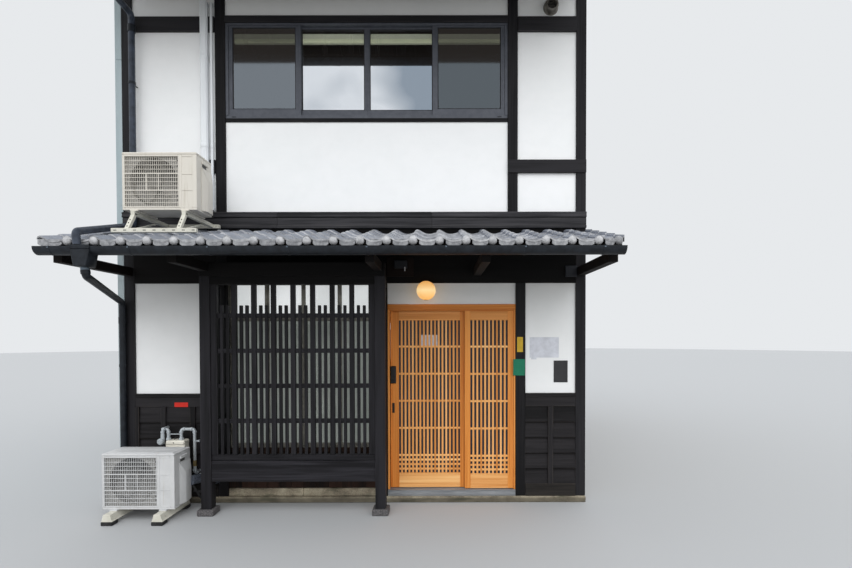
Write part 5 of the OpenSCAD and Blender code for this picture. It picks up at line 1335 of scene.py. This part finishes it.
main_boards = Piece("main_deck")
FOOT_Y, TOP_Y = ROOF_Y0 + FASCIA, MIDDLE_Y - 40
for i in range(16):
    x = ROOF_X0 + 6 + i * (ROOF_X1 - ROOF_X0 - 62) / 15
    outline = sloped(main_z, FOOT_Y, TOP_Y, 0, RAFTER_H)
    both_slopes(main_boards, main_boards.drawn(outline, 0, x, x + 50, 0, 1))
for i in range(14):
    y0 = FOOT_Y + i * (TOP_Y - FOOT_Y) / 14
    y1 = FOOT_Y + (i + 1) * (TOP_Y - FOOT_Y) / 14 - 1
    both_slopes(main_boards, main_boards.drawn(sloped(main_z, y0, y1, RAFTER_H, DECK), 0, ROOF_X0, ROOF_X1))
EAVE_TOP = main_z(ROOF_Y0) + DECK
for y0, y1, low, high in (
    (ROOF_Y0, FOOT_Y, main_z(ROOF_Y0), EAVE_TOP), (ROOF_Y0 - 40, ROOF_Y0 - 37, MAIN_RIM - 8, EAVE_TOP - 2),
):
    both_slopes(main_boards, main_boards.board(ROOF_X0, ROOF_X1, y0, y1, low, high, 0))
main_boards.set_in_place("house", [aged_timber_painted_shade], ["main_roof_boards"])

MAIN_Y0 = span("main_roof_tiles")[2]
RIDGE_X1, RIDGE_Y0, RIDGE_Y1, RIDGE_Z0, RIDGE_Z1 = span("roof_ridge")[1:]
COURSES = 17
MAIN_COURSE = (RIDGE_Y0 + 20 - MAIN_Y0) / COURSES
main_tiles = Piece("main_tiles")
crests = [RIDGE_X1 - 60 - k * TILE_W for k in range(23)]
for row in range(COURSES):
    y0 = MAIN_Y0 + 4 + row * MAIN_COURSE
    y1 = min(y0 + MAIN_COURSE + LAP_BACK, RIDGE_Y0 + 30)
    z0, z1 = main_z(y0) + DECK + COURSE_RISE, main_z(y1) + DECK + 1
    for x in crests:
        made = lay_tile(main_tiles, x, y0 + DRAWS.uniform(-2, 2), y1, z0, z1, (ROOF_X0, ROOF_X1))
        both_slopes(main_tiles, made)
main_tiles.set_in_place("house", [roof_tile, tile_face], ["main_roof_tiles"], 40)

eave_fronts = Piece("main_eave_tiles")
front_z = main_z(MAIN_Y0) + DECK
for x in crests:
    made_before = set(eave_fronts.mesh.verts)
    if x > ROOF_X0 + TILE_W / 2:
        eave_lip(eave_fronts, max(x - TILE_W + LIP_START, ROOF_X0 + 2), x - BOSS_GAP, MAIN_Y0, front_z)
    boss_at = (max(x, ROOF_X0 + 40), MAIN_Y0 + 11, front_z + BOSS_RISE)
    eave_fronts.turned(boss_line, boss_at, 1, 16, 1, 0.5)
    both_slopes(eave_fronts, [v for v in eave_fronts.mesh.verts if v not in made_before])
eave_fronts.set_in_place("house", [roof_tile, tile_face])

mortar = plaster_finish("ridge_mortar", shade(170, 168, 162), shade(196, 194, 188), 0.3)
ridge = Piece("ridge_tiles")
ridge.board(FRONT_X0, FRONT_X1, MIDDLE_Y - 40, MIDDLE_Y + 40, RIDGE_Z0, RIDGE_Z0 + 170, 2, finish=2)
BED_Z = main_z(RIDGE_Y0) + DECK + 10
ridge.board(ROOF_X0 + 4, ROOF_X1 - 4, RIDGE_Y0 + 12, RIDGE_Y1 - 12, BED_Z, RIDGE_Z1 - 126, 4, finish=1)
FLATS, CAPS, CAP_R = 16, 19, 62
flat_pitch, cap_pitch = (ROOF_X1 - ROOF_X0) / FLATS, (ROOF_X1 - ROOF_X0) / CAPS


def ridge_line(half):
    """An outline alike on both sides of the ridge, from one half of it as (distance, height)."""
    back = [(MIDDLE_Y + y, z) for y, z in half]
    front = [(MIDDLE_Y - y, z) for y, z in half if y]
    return front[:1] + back + front[:0:-1]


for half_depth, z in ((110, RIDGE_Z1 - 128), (100, RIDGE_Z1 - 104), (90, RIDGE_Z1 - 80)):
    for i in range(FLATS):
        x0 = ROOF_X0 + i * flat_pitch
        line = ridge_line([(half_depth, z), (half_depth - 3, z + 15), (0, z + 22)])
        ridge.drawn(line, 0, x0, x0 + flat_pitch - 1.5)
for i in range(CAPS):
    x0 = ROOF_X0 + i * cap_pitch
    for radius, a, b in ((CAP_R, x0 + 1, x0 + cap_pitch - 20), (55, x0 + cap_pitch - 20, x0 + cap_pitch)):
        turns = [math.pi * j / 12 for j in range(13)]
        arc = [(MIDDLE_Y - radius * math.cos(t), RIDGE_Z1 - CAP_R + radius * math.sin(t)) for t in turns]
        ridge.drawn(arc, 0, a, b)
HALF_RIDGE = MIDDLE_Y - RIDGE_Y0
for x0, x1 in ((ROOF_X0, ROOF_X0 + 30), (ROOF_X1 - 30, ROOF_X1)):
    end_tile = [(HALF_RIDGE - 2, BED_Z - 30), (HALF_RIDGE - 8, RIDGE_Z1 - 90), (70, RIDGE_Z1 - 40),
                (30, RIDGE_Z1 - 4)]
    ridge.drawn(ridge_line(end_tile), 0, x0, x1, 3)
ridge.set_in_place("house", [roof_tile, mortar, aged_timber_painted_shade], ["roof_ridge"])

# Outdoor units: a pressed steel case painted ivory with a base pan and a lid, a square grille over
# the fan, two grooves on the plain right panel, and a sloping cover over the pipe joints.
ivory = Finish("ivory_enamel", Roughness=0.42)
where = ivory.place()
dusty = ivory.noise(where, 6.0, 6, 0.65)
drips = ivory.noise(ivory.stretch(where, (30.0, 30.0, 2.5)), 1.0, 5, 0.6)
enamel = ivory.graded(dusty, (0.35, shade(190, 191, 192)), (0.62, shade(200, 201, 202)))
# Above about two metres the enamel turns lighter and warmer, so the unit on the roof is paler than the one on
# the ground: painted light.
enamel = ivory.blend(ivory.part(where, 2).rise(1.8, 2.2) * 0.8, enamel, shade(212, 206, 194))
enamel = ivory.blend(drips.rise(0.56, 0.74) * 0.35, enamel, shade(160, 150, 132))
ivory.put("Base Color", enamel)
ivory.put("Roughness", 0.34 + dusty * 0.2)
ivory.relief(dusty, 0.0005)
fan_grey = Finish("fan_resin", Roughness=0.5)
cast = fan_grey.noise(fan_grey.place(), 20.0, 4) * 0.25 + fan_grey.tone() * 0.75
fan_grey.put("Base Color", fan_grey.graded(cast, (0.15, shade(36, 34, 31)), (0.85, shade(164, 162, 158))))
fin_dark, _ = clouded("fin_shadow", (60, 60, 60), (92, 91, 90), 30.0, Roughness=0.7)
UNIT_W, UNIT_D, UNIT_H, UNIT_FOOT, UNIT_FOOT_X = 663.0, 290.0, 514.0, 12, 225
UPPER_UNIT = (-1631.0, -600.0, span("outdoor_units")[5] - UNIT_H)
LOWER_UNIT = (-1900.0, -520.0, span("outdoor_units")[4] + UNIT_FOOT)


def grille_plate(piece, left, right_x, low, high, y, fan_at, radius):
    """The flat plate behind the grille, with the fan's round mouth drawn into it."""
    upright = Matrix.Rotation(math.pi / 2, 3, "X").to_quaternion()
    middle = Vector(((left + right_x) / 2, y, (low + high) / 2))
    plate = Matrix.LocRotScale(middle, upright, Vector((right_x - left, high - low, 1)))
    square = bmesh.ops.create_grid(piece.mesh, x_segments=12, y_segments=12, size=0.5, matrix=plate)["verts"]
    rim = [v for v in square if v.is_boundary]
    bmesh.ops.delete(piece.mesh, geom=[v for v in square if not v.is_boundary], context="VERTS")
    mouth = Matrix.LocRotScale(Vector((fan_at[0], y, fan_at[2])), upright, None)
    hole = bmesh.ops.create_circle(piece.mesh, segments=48, radius=radius, matrix=mouth)["verts"]
    bmesh.ops.bridge_loops(piece.mesh, edges=list({e for v in rim + hole for e in v.link_edges}))
    ring = list({e for v in hole for e in v.link_edges if e.other_vert(v) in set(hole)})
    grown = bmesh.ops.extrude_edge_only(piece.mesh, edges=ring)["geom"]
    deep = [v for v in grown if isinstance(v, bmesh.types.BMVert)]
    bmesh.ops.translate(piece.mesh, verts=deep, vec=(0, 90, 0))
    for face in {f for v in rim + hole + deep for f in v.link_faces}:
        face.material_index = 1
    return rim + hole, deep


def fan(piece, at, radius):
    """The back of the shroud, the hub and three blades."""
    made = piece.turned([(0, 116), (radius + 6, 116), (radius + 6, 122), (0, 122)], at, 1, 40, 1)
    made += piece.turned([(0, 46), (34, 46), (50, 54), (54, 64), (54, 104), (0, 104)], at, 1, 32, 1)
    blade_line = [(40, -42), (104, -108), (186, -98), (198, -34), (192, 40), (120, 52), (40, 30)]
    for blade in range(3):
        turn = Matrix.Rotation(math.radians(128 + 120 * blade), 4, "Y")
        verts = piece.drawn(blade_line, 1, 80, 84, 0, 2, 1, 0.5)
        for v in verts:
            v.co.y += v.co.z * 0.24 - 4
        bmesh.ops.transform(piece.mesh, matrix=Matrix.Translation(at) @ turn, verts=verts)
        made += verts
    return made


def outdoor_unit(piece, x, y, z):
    """One unit whose case has its left front foot corner at x - UNIT_W / 2, y, z."""
    x0, x1, top, back = x - UNIT_W / 2, x + UNIT_W / 2, z + UNIT_H, y + UNIT_D
    left, right_x, low, high = x0 + 20, x0 + 506, z + 26, z + 477
    sheet_z0, sheet_z1 = z + 18, top - 26
    fan_at, fan_r = (x0 + 268, y, z + 256), 212.0
    piece.board(x0 + 2, x1 - 2, y + 2, back - 2, z, sheet_z0, 2)
    piece.board(x0, x1, y, back, sheet_z1, top - 4, 6)
    for i in range(2):
        piece.board(x0 + 26, x1 - 26, y + 30 + 118 * i, y + 142 + 118 * i, top - 6, top, 2, tone=0.5)
    piece.boards([
        (right_x, x1 - 1, y + 5, back - 2, sheet_z0, sheet_z1, 2),
        (right_x, right_x + 22, y + 1.5, y + 8, sheet_z0, sheet_z1, 1.5),
        (x1 - 38, x1 - 1, y + 1.5, y + 8, sheet_z0, sheet_z1, 1.5),
    ])
    for a, b in ((sheet_z0, z + 34), (top - 44, sheet_z1), (z + 172, z + 175), (z + 314, z + 317)):
        piece.board(right_x + 26, x1 - 42, y + 1.5, y + 8, a, b, 0.8)
    piece.boards([
        (x0 + 1, left, y + 2, back - 2, sheet_z0, sheet_z1, 3),
        (left, right_x, y + 2, y + 60, sheet_z0, low, 0),
        (left, right_x, y + 2, y + 60, high, sheet_z1, 0),
    ])
    piece.board(left, right_x, back - 14, back - 2, sheet_z0, sheet_z1, 0, finish=2)
    plate, deep = grille_plate(piece, left, right_x, low, high, y + 26, fan_at, fan_r)
    shroud = fan(piece, fan_at, fan_r)
    # The plate takes one tone of the fan resin. The shroud's wall, its back and the blades are painted darker
    # towards the top and lighter towards the foot: painted shade under the shroud's upper lip and painted
    # light below.
    for v in plate:
        v[piece.tone] = 0.8
    for v in shroud + deep:
        v[piece.tone] = max(0.0, min(0.85, 0.36 - (v.co.z - fan_at[2]) / 420))
    piece.boards([
        (left - 6, right_x + 6, y - 1, y + 12, low - 6, low + 5, 2),
        (left - 6, right_x + 6, y - 1, y + 12, high - 5, high + 8, 2),
        (left - 6, left + 5, y - 1, y + 12, low, high, 2),
        (right_x - 7, right_x + 6, y - 1, y + 12, low, high, 2),
    ])
    for i in range(1, 12):
        at = low + i * 37.0
        half = 4.5 if i in (4, 8) else 2.0
        piece.board(left, right_x, y + 1, y + 6, at - half, at + half, 0, tone=0.5)
    for i in range(1, 29):
        at = left + i * (right_x - left) / 29
        piece.centred(at, 3, y + 5, y + 10, low, high, 0, tone=0.5)
    for at in (fan_at[0] - 54, fan_at[0] + 54):
        piece.centred(at, 7, y + 3, y + 10, low + 148, low + 296, 0, tone=0.5)
    for up in (60, 96, 360, 410):
        piece.board(right_x - 16, right_x - 9, y - 0.5, y + 3, low + up - 6, low + up + 6, 0, finish=2)
    side = [(x1 - 1, z + 14), (x1 + 30, z + 14), (x1 + 32, z + 304), (x1 + 5, z + 400), (x1 - 1, z + 405)]
    for v in piece.drawn(side, 1, y + 84, back - 6, 4):
        if v.co.x > x1 + 12 and v.co.y < y + 90:
            v.co.y += 66
        elif v.co.x > x1 + 12:
            v.co.x -= 17
    piece.board(x1 - 2, x1 + 11, y + 100, y + 215, top - 77, top - 47, 5)
    piece.board(x1 - 2, x1 + 1, y + 106, y + 184, top - 104, top - 76, 0, finish=2)
    for off in (-UNIT_FOOT_X, UNIT_FOOT_X):
        piece.centred(x + off, 70, y - 8, back + 18, z - UNIT_FOOT, z, 3)


units = Piece("unit_cases")
for place in (UPPER_UNIT, LOWER_UNIT):
    outdoor_unit(units, *place)
units.set_in_place("house", [ivory, fan_grey, fin_dark], ["outdoor_units"])

# Stands: a welded frame of cream-painted steel on the pent roof's tiles, and two trapezoid resin
# blocks with rubber pads under the unit on the ground.
cream = Finish("cream_paint", Roughness=0.5)
where = cream.place()
chips = cream.noise(where, 40.0, 5, 0.7)
worn = cream.graded(cream.noise(where, 6.0, 4), (0.35, shade(196, 194, 182)), (0.65, shade(214, 212, 200)))
worn = cream.blend(chips.rise(0.63, 0.70) * 0.8, worn, shade(120, 84, 58))
cream.put("Base Color", worn)
cream.relief(chips, 0.0006)
rubber, _ = clouded("black_rubber", (24, 24, 25), (50, 50, 51), 30.0, Roughness=0.8)
TILE_LAYER, TUBE = 60.0, 36.0
STAND_X, STAND_Y, STAND_Z = UPPER_UNIT[0], UPPER_UNIT[1], UPPER_UNIT[2] - UNIT_FOOT
FRONT_RAIL_Y, BACK_RAIL_Y = STAND_Y - 120, STAND_Y + UNIT_D + 245
stands = Piece("stand_and_blocks")


def rail_z(y):
    return pent_z(y) + TILE_LAYER


for y, x0, x1 in ((FRONT_RAIL_Y, STAND_X - 344, STAND_X + 389), (BACK_RAIL_Y, STAND_X - 240, STAND_X + 296)):
    low = rail_z(y + TUBE / 2)
    stands.board(x0, x1, y - TUBE / 2, y + TUBE / 2, low, low + TUBE, 2)
for i in range(9):
    x, low = STAND_X - 320 + i * 84, rail_z(FRONT_RAIL_Y + TUBE / 2)
    stands.board(x, x + 26, FRONT_RAIL_Y - TUBE / 2 - 0.6, FRONT_RAIL_Y, low + 14, low + 21, 0, finish=1)
FRONT_MID_Z = rail_z(FRONT_RAIL_Y) + 18
for off in (-UNIT_FOOT_X, UNIT_FOOT_X):
    x = STAND_X + off
    a, b = x - TUBE / 2, x + TUBE / 2
    leg = [(FRONT_RAIL_Y - 12, FRONT_MID_Z), (FRONT_RAIL_Y + 24, FRONT_MID_Z), (STAND_Y + 24, STAND_Z - 18),
           (STAND_Y - 12, STAND_Z - 18)]
    stands.drawn(leg, 0, a, b, 2)
    for share in (0.24, 0.42, 0.60):
        y = FRONT_RAIL_Y - 12 + share * (STAND_Y - FRONT_RAIL_Y)
        z = FRONT_MID_Z + share * (STAND_Z - 36 - rail_z(FRONT_RAIL_Y))
        stands.centred(x, 8, y - 1, y + 3, z - 8, z + 8, 0, finish=1)
    brace = [(a + 8, FRONT_RAIL_Y + 60, FRONT_MID_Z + 18), (a + 8, BACK_RAIL_Y - 190, STAND_Z - 40)]
    stands.tube(brace, 16, 0, 8)
    stands.board(a, b, STAND_Y - 24, BACK_RAIL_Y + TUBE / 2, STAND_Z - TUBE, STAND_Z, 2)
    stands.board(a, b, BACK_RAIL_Y - 18, BACK_RAIL_Y + 18, rail_z(BACK_RAIL_Y) + 18, STAND_Z - 18, 2)
BLOCK_TOP, BLOCK_Y0, BLOCK_Y1 = LOWER_UNIT[2] - UNIT_FOOT, LOWER_UNIT[1] - 100, LOWER_UNIT[1] + UNIT_D + 110
for off in (-UNIT_FOOT_X, UNIT_FOOT_X):
    x = LOWER_UNIT[0] + off
    block = [(x - 50, 33), (x + 50, 33), (x + 50, 42), (x + 44, 48), (x + 30, BLOCK_TOP), (x - 30, BLOCK_TOP),
             (x - 44, 48), (x - 50, 42)]
    stands.drawn(block, 1, BLOCK_Y0, BLOCK_Y1, 3)
    for a, b in ((BLOCK_Y0 - 4, BLOCK_Y0 + 84), (BLOCK_Y1 - 84, BLOCK_Y1 + 4)):
        stands.centred(x, 104, a, b, 0, 34, 5, finish=1)
stands.set_in_place("house", [cream, rubber], ["unit_stands"])

# Gas meter: a grey-white cast case on a bracket, with its dial plate left blank, and galvanised
# pipe with elbows from the riser and into the wall.
meter_paint, _ = clouded(
    "meter_paint", (214, 210, 198), (232, 228, 216), 12.0, 5, (0.35, 0.65), Roughness=0.5
)
zinc = Finish("galvanised_pipe", Roughness=0.4, Metallic=0.5)
spangle = zinc.node("ShaderNodeTexVoronoi", inputs={"Vector": zinc.place(), "Scale": 160.0})
zinc.put("Base Color", zinc.graded(spangle, (0.1, shade(150, 158, 164)), (0.6, shade(204, 210, 214))))
zinc.put("Roughness", 0.35 + spangle * 0.25)
METER_X, METER_Y0, METER_Y1 = -1767.0, -150.0, -40.0
METER_Z0, METER_Z1 = CAP_TOP - 666, CAP_TOP - 448
PIPE_TOP, METER_PIPE_Y, RISER_X, INLET_Z = CAP_TOP - 341, -95.0, -1590.0, 330
INLET_X, OUTLET_X, VALVE_X = METER_X - 84, METER_X + 44, METER_X - 142
GAS_PIPE, WALL_FACE = 30, 3.7
meter = Piece("meter_and_pipes")
meter.boards([
    (METER_X - 95, METER_X + 95, METER_Y0 + 14, METER_Y1, METER_Z0, METER_Z1 - 20, 10),
    (METER_X - 88, METER_X + 95, METER_Y0 + 4, METER_Y1 + 4, METER_Z1 - 40, METER_Z1, 9),
    (METER_X - 84, METER_X + 84, METER_Y0 + 4, METER_Y0 + 16, METER_Z0 + 20, METER_Z1 - 60, 6),
])
meter.centred(METER_X, 100, METER_Y0, METER_Y0 + 6, METER_Z1 - 130, METER_Z1 - 84, 2, finish=2)
meter.board(METER_X - 14, METER_X - 4, METER_Y0 + 2, METER_Y0 + 6, METER_Z1 - 26, METER_Z1 - 16, 1, finish=2)
meter.centred(METER_X, 120, METER_Y1 - 5, WALL_FACE, METER_Z0 + 58, METER_Z0 + 118, 2)


def gas_tube(stops, diameter=GAS_PIPE, bend=0, sides=20, finish=1):
    """A pipe through stops given as (x, z), all at the depth of the meter's pipes."""
    meter.tube([(x, METER_PIPE_Y, z) for x, z in stops], diameter, bend, sides, finish=finish)


inlet = [(VALVE_X, METER_Z1 - 40), (VALVE_X, PIPE_TOP), (INLET_X, PIPE_TOP), (INLET_X, METER_Z1 - 6)]
outlet = [(OUTLET_X, METER_Z1 - 6), (OUTLET_X, PIPE_TOP), (RISER_X, PIPE_TOP), (RISER_X, INLET_Z)]
for stops, wall_end in ((inlet, []), (outlet, [(RISER_X, WALL_FACE, INLET_Z)])):
    run = [(x, METER_PIPE_Y, z) for x, z in stops] + wall_end
    meter.tube(run, GAS_PIPE, 26, 20, finish=1)
    for i, corner in enumerate(run[1:-1]):
        for end in (run[i], run[i + 2]):
            way = (Vector(end) - Vector(corner)).normalized()
            meter.tube([Vector(corner) + way * 22, Vector(corner) + way * 36], 40, 0, 20, finish=1)
meter.tube([(VALVE_X, METER_PIPE_Y, PIPE_TOP), (VALVE_X, WALL_FACE, PIPE_TOP)], GAS_PIPE, 0, 20, finish=1)
gas_tube([(INLET_X, PIPE_TOP - 50), (OUTLET_X, PIPE_TOP - 50)], 10, 0, 10)
for x in (INLET_X, OUTLET_X):
    meter.turned([(0, 0), (25, 0), (25, 18), (20, 24), (0, 24)], (x, METER_PIPE_Y, METER_Z1 - 2), 2, 6, 1)
dial = [(0, -20), (27, -20), (32, -15), (32, 4), (0, 4)]
meter.turned(dial, (VALVE_X - 10, METER_PIPE_Y - 16, METER_Z1 - 14), 1, 28, 1)
gas_tube([(VALVE_X, METER_Z1 - 38), (VALVE_X, METER_Z1 + 62)], 38)
handle = [(METER_X - 30, METER_Z1 - 2), (METER_X - 18, METER_Z1 + 26), (METER_X + 14, METER_Z1 + 30),
          (METER_X + 22, METER_Z1 - 2)]
gas_tube(handle, 7, 14, 8, 2)
gas_tube([(RISER_X, 398), (RISER_X, 456)], 37, 0, 12, 3)
for x, diameter, sides in ((RISER_X, 15, 12), (RISER_X + 34, 24, 6)):
    gas_tube([(x, METER_Z1 - 12), (RISER_X + 52, METER_Z1 - 12)], diameter, 0, sides)
brass, _ = clouded("dull_brass", (120, 104, 72), (164, 146, 104), 60.0, Roughness=0.45, Metallic=0.7)
meter.set_in_place("house", [meter_paint, zinc, black_plastic, brass], ["gas_meter"])

# Ducts: white resin covers over the cooling lines of the unit on the roof, clipped to the plaster,
# and the wrapped line of the lower unit into the wall.
duct_resin = Finish("duct_resin", Roughness=0.45)
where = duct_resin.place()
faded = duct_resin.noise(duct_resin.stretch(where, (8.0, 8.0, 1.5)), 1.0, 5, 0.6)
off_white = duct_resin.graded(faded, (0.35, shade(216, 220, 224)), (0.65, shade(231, 234, 238)))
duct_resin.put("Base Color", off_white)
duct_resin.relief(faded, 0.0005)
DUCT_TOP = span("wall_ducts")[5]
DUCT_FOOT = UPPER + 20
BAND = 30
ducts = Piece("line_ducts")
for x, half in ((WINDOW_X - 145, 36), (WINDOW_X - POST / 2 - 26, 12)):
    front, flat = -PROUD - half, half * 0.65
    shoulder = front + half * 0.35
    profile = [
        (x - half, -PROUD), (x - half, shoulder), (x - flat, front),
        (x + flat, front), (x + half, shoulder), (x + half, -PROUD),
    ]
    ducts.drawn(profile, 2, DUCT_FOOT, DUCT_TOP)
    for z in (DUCT_FOOT, DUCT_TOP - BAND):
        ducts.centred(x, 2 * half, -PROUD - 1, WALL_Y, z, z + BAND, 0.5)
    for z in (DUCT_FOOT + 620, DUCT_FOOT + 1500):
        collar = [(px + (1.5 if px > x else -1.5), py - 1.5 if py < -PROUD else py) for px, py in profile]
        ducts.drawn(collar, 2, z, z + 46, 1)
LINE_X, LINE_Z, LINE_Y = LOWER_UNIT[0] + UNIT_W / 2 + 21, 300, LOWER_UNIT[1] + UNIT_D
ducts.tube([(LINE_X, LINE_Y - 6, LINE_Z), (LINE_X, 9.7, LINE_Z)], 38, 0, 20)
for i in range(7):
    y = LINE_Y + 8 + i * 30
    ducts.tube([(LINE_X, y, LINE_Z), (LINE_X, y + 12, LINE_Z)], 41, 0, 20)
foil = Finish("foil_wrap", Roughness=0.35, Metallic=0.6)
creases = foil.noise(foil.place(), 60.0, 5, 0.7, 1.0)
foil.put("Base Color", foil.graded(creases, (0.35, shade(76, 82, 96)), (0.65, shade(136, 144, 158))))
foil.relief(creases, 0.006)
wrapped = [(-4, LINE_Y - 20, LINE_Z), (40, -150, 292), (110, -60, 250), (130, 6, 235)]
ducts.tube([(LINE_X + x, y, z) for x, y, z in wrapped], 92, 60, 20, finish=1)
for i, low in enumerate((60.0, 110.0)):
    hose = [(6, -236 + 14 * i, 250 - 60 * i), (50 + 16 * i, -190, low + 60), (84, -140 + 20 * i, low),
            (110, -70, low + 30), (118 + 8 * i, 6, low + 120)]
    ducts.tube([(LINE_X + x, y, z) for x, y, z in hose], 22, 50, 12, finish=2)
ducts.set_in_place("house", [duct_resin, foil, rubber], ["wall_ducts"])

# Entrance lamp: an opal glass globe that glows warm, on a small round wall plate.
opal, _ = clouded("opal_globe", (200, 150, 90), (214, 166, 106), 6.0, Roughness=0.25)
LAMP_X0, LAMP_X1, LAMP_Y0, _, LAMP_Z0, LAMP_Z1 = span("entrance_lamp")
LAMP_R = (LAMP_X1 - LAMP_X0) / 2
lamp_x, lamp_y, lamp_z = (LAMP_X0 + LAMP_X1) / 2, LAMP_Y0 + LAMP_R, (LAMP_Z0 + LAMP_Z1) / 2
height = opal.part(opal.place(), 2).rise(LAMP_Z0 / 1000, LAMP_Z1 / 1000)
warm = opal.graded(
    height, (0.0, shade(250, 186, 104)), (0.5, shade(255, 224, 164)), (1.0, shade(244, 178, 98))
)
opal.glow(warm, 0.8)
globe = Piece("globe_lamp")
arc = [(LAMP_R * math.sin(math.pi * i / 20), -LAMP_R * math.cos(math.pi * i / 20)) for i in range(21)]
globe.turned(arc, (lamp_x, lamp_y, lamp_z), 2, 40)
wall_plate = [(0, 0), (50, 0), (50, 14), (44, 20), (40, 60), (0, 60)]
globe.turned(wall_plate, (lamp_x, WALL_Y - 60, lamp_z), 1, 32, 1)
for end, way in ((LAMP_Z1 - 3, 1), (LAMP_Z0 + 5, -1)):
    globe.turned([(0, 0), (22, 0), (20, 5 * way), (0, 6 * way)], (lamp_x, lamp_y, end), 2, 20, 1)
globe.turned([(86, 0), (92, 0), (92, 8), (86, 8), (86, 0)], (lamp_x, lamp_y + 26, lamp_z), 1, 40, 1)
globe.set_in_place("house", [opal, black_plastic], ["entrance_lamp"])

# Vent hood: a pressed metal cap with a hooded mouth, high on the right bay's plaster.
hood_metal, hood_dirt = clouded(
    "hood_metal", (96, 92, 86), (140, 136, 128), 20.0, 5, (0.35, 0.65), 0.6, Roughness=0.4, Metallic=0.6
)
hood_metal.put("Roughness", 0.35 + hood_dirt * 0.3)
HOOD_X0, HOOD_X1, HOOD_Y0, _, HOOD_Z0, HOOD_Z1 = span("vent_hood")
HOOD_R = (HOOD_X1 - HOOD_X0) / 2
hood_x, hood_z = (HOOD_X0 + HOOD_X1) / 2, (HOOD_Z0 + HOOD_Z1) / 2
hood_at = (hood_x, HOOD_Y0, hood_z)
hood = Piece("round_vent")
hood.turned(
    [(HOOD_R * 0.58, 60), (HOOD_R * 0.62, 6), (HOOD_R * 0.7, 0), (HOOD_R * 0.82, 2), (HOOD_R * 0.9, 14),
     (HOOD_R * 0.9, 70), (HOOD_R, 72), (HOOD_R, 80), (0, 80)], hood_at, 1, 40,
)
hood.turned([(0, 40), (HOOD_R * 0.61, 40), (HOOD_R * 0.61, 46), (0, 46)], hood_at, 1, 40, 1)
for i in range(5):
    low = hood_z - HOOD_R * 0.4 + i * HOOD_R * 0.2
    hood.centred(hood_x, HOOD_R * 0.9, HOOD_Y0 + 34, HOOD_Y0 + 38, low - 2, low + 2, 0)
hood.set_in_place("house", [hood_metal, black_plastic], ["vent_hood"])

# Plates and papers on the front, left bare: a red plate on the wainscot's rail, papers and a resin
# plate on the plaster, two stickers by the door, a board with an old switch box and a grey box under
# the eaves. A paper hangs behind the left leaf's slats and moves with it.
signs = Piece("wall_plates")
sign_colours = ((208, 44, 32), (214, 217, 226), (56, 56, 58), (206, 170, 50), (30, 122, 92), (46, 48, 54))
sign_finishes = []
for i, colour in enumerate(sign_colours):
    faded = [0.9 * c for c in colour]
    made, _ = clouded("plate_%d" % i, faded, colour, 18.0, Roughness=0.5, Specular_IOR_Level=0.3)
    sign_finishes.append(made)
for finish, *corners in (
    (0, -1840, -1703, -1, 3, CAP_TOP - 135, CAP_TOP - 89, 1),
    (1, 1770, 2068, WALL_Y - 1, WALL_Y, 1468, 1676, 0),
    (1, 1786, 1840, WALL_Y - 1.2, WALL_Y, 1450, 1470, 0),
    (2, 2016, 2158, WALL_Y - 6, WALL_Y, 1216, 1438, 3),
    (3, 1640, 1699, -1, 0, 1526, 1678, 0),
    (4, 1600, 1718, -5, 0, 1288, 1454, 1),
    (5, 2124, 2242, -26, 0, 2286, 2398, 5),
    (6, 322, 592, -14, 0, 2290, 2484, 2),
    (5, 398, 530, -52, -14, 2370, 2450, 6),
    (1, 500, 512, -60, -50, 2340, 2382, 2),
):
    signs.board(*corners, finish=finish)
signs.set_in_place("house", sign_finishes + [aged_timber_painted_shade])
paper = Piece("leaf_paper")
paper.board(655, 831, SLIDE_Y + 17, SLIDE_Y + 17.8, 1584, 1702, 0)
paper.set_in_place("entrance_door", [sign_finishes[1]])
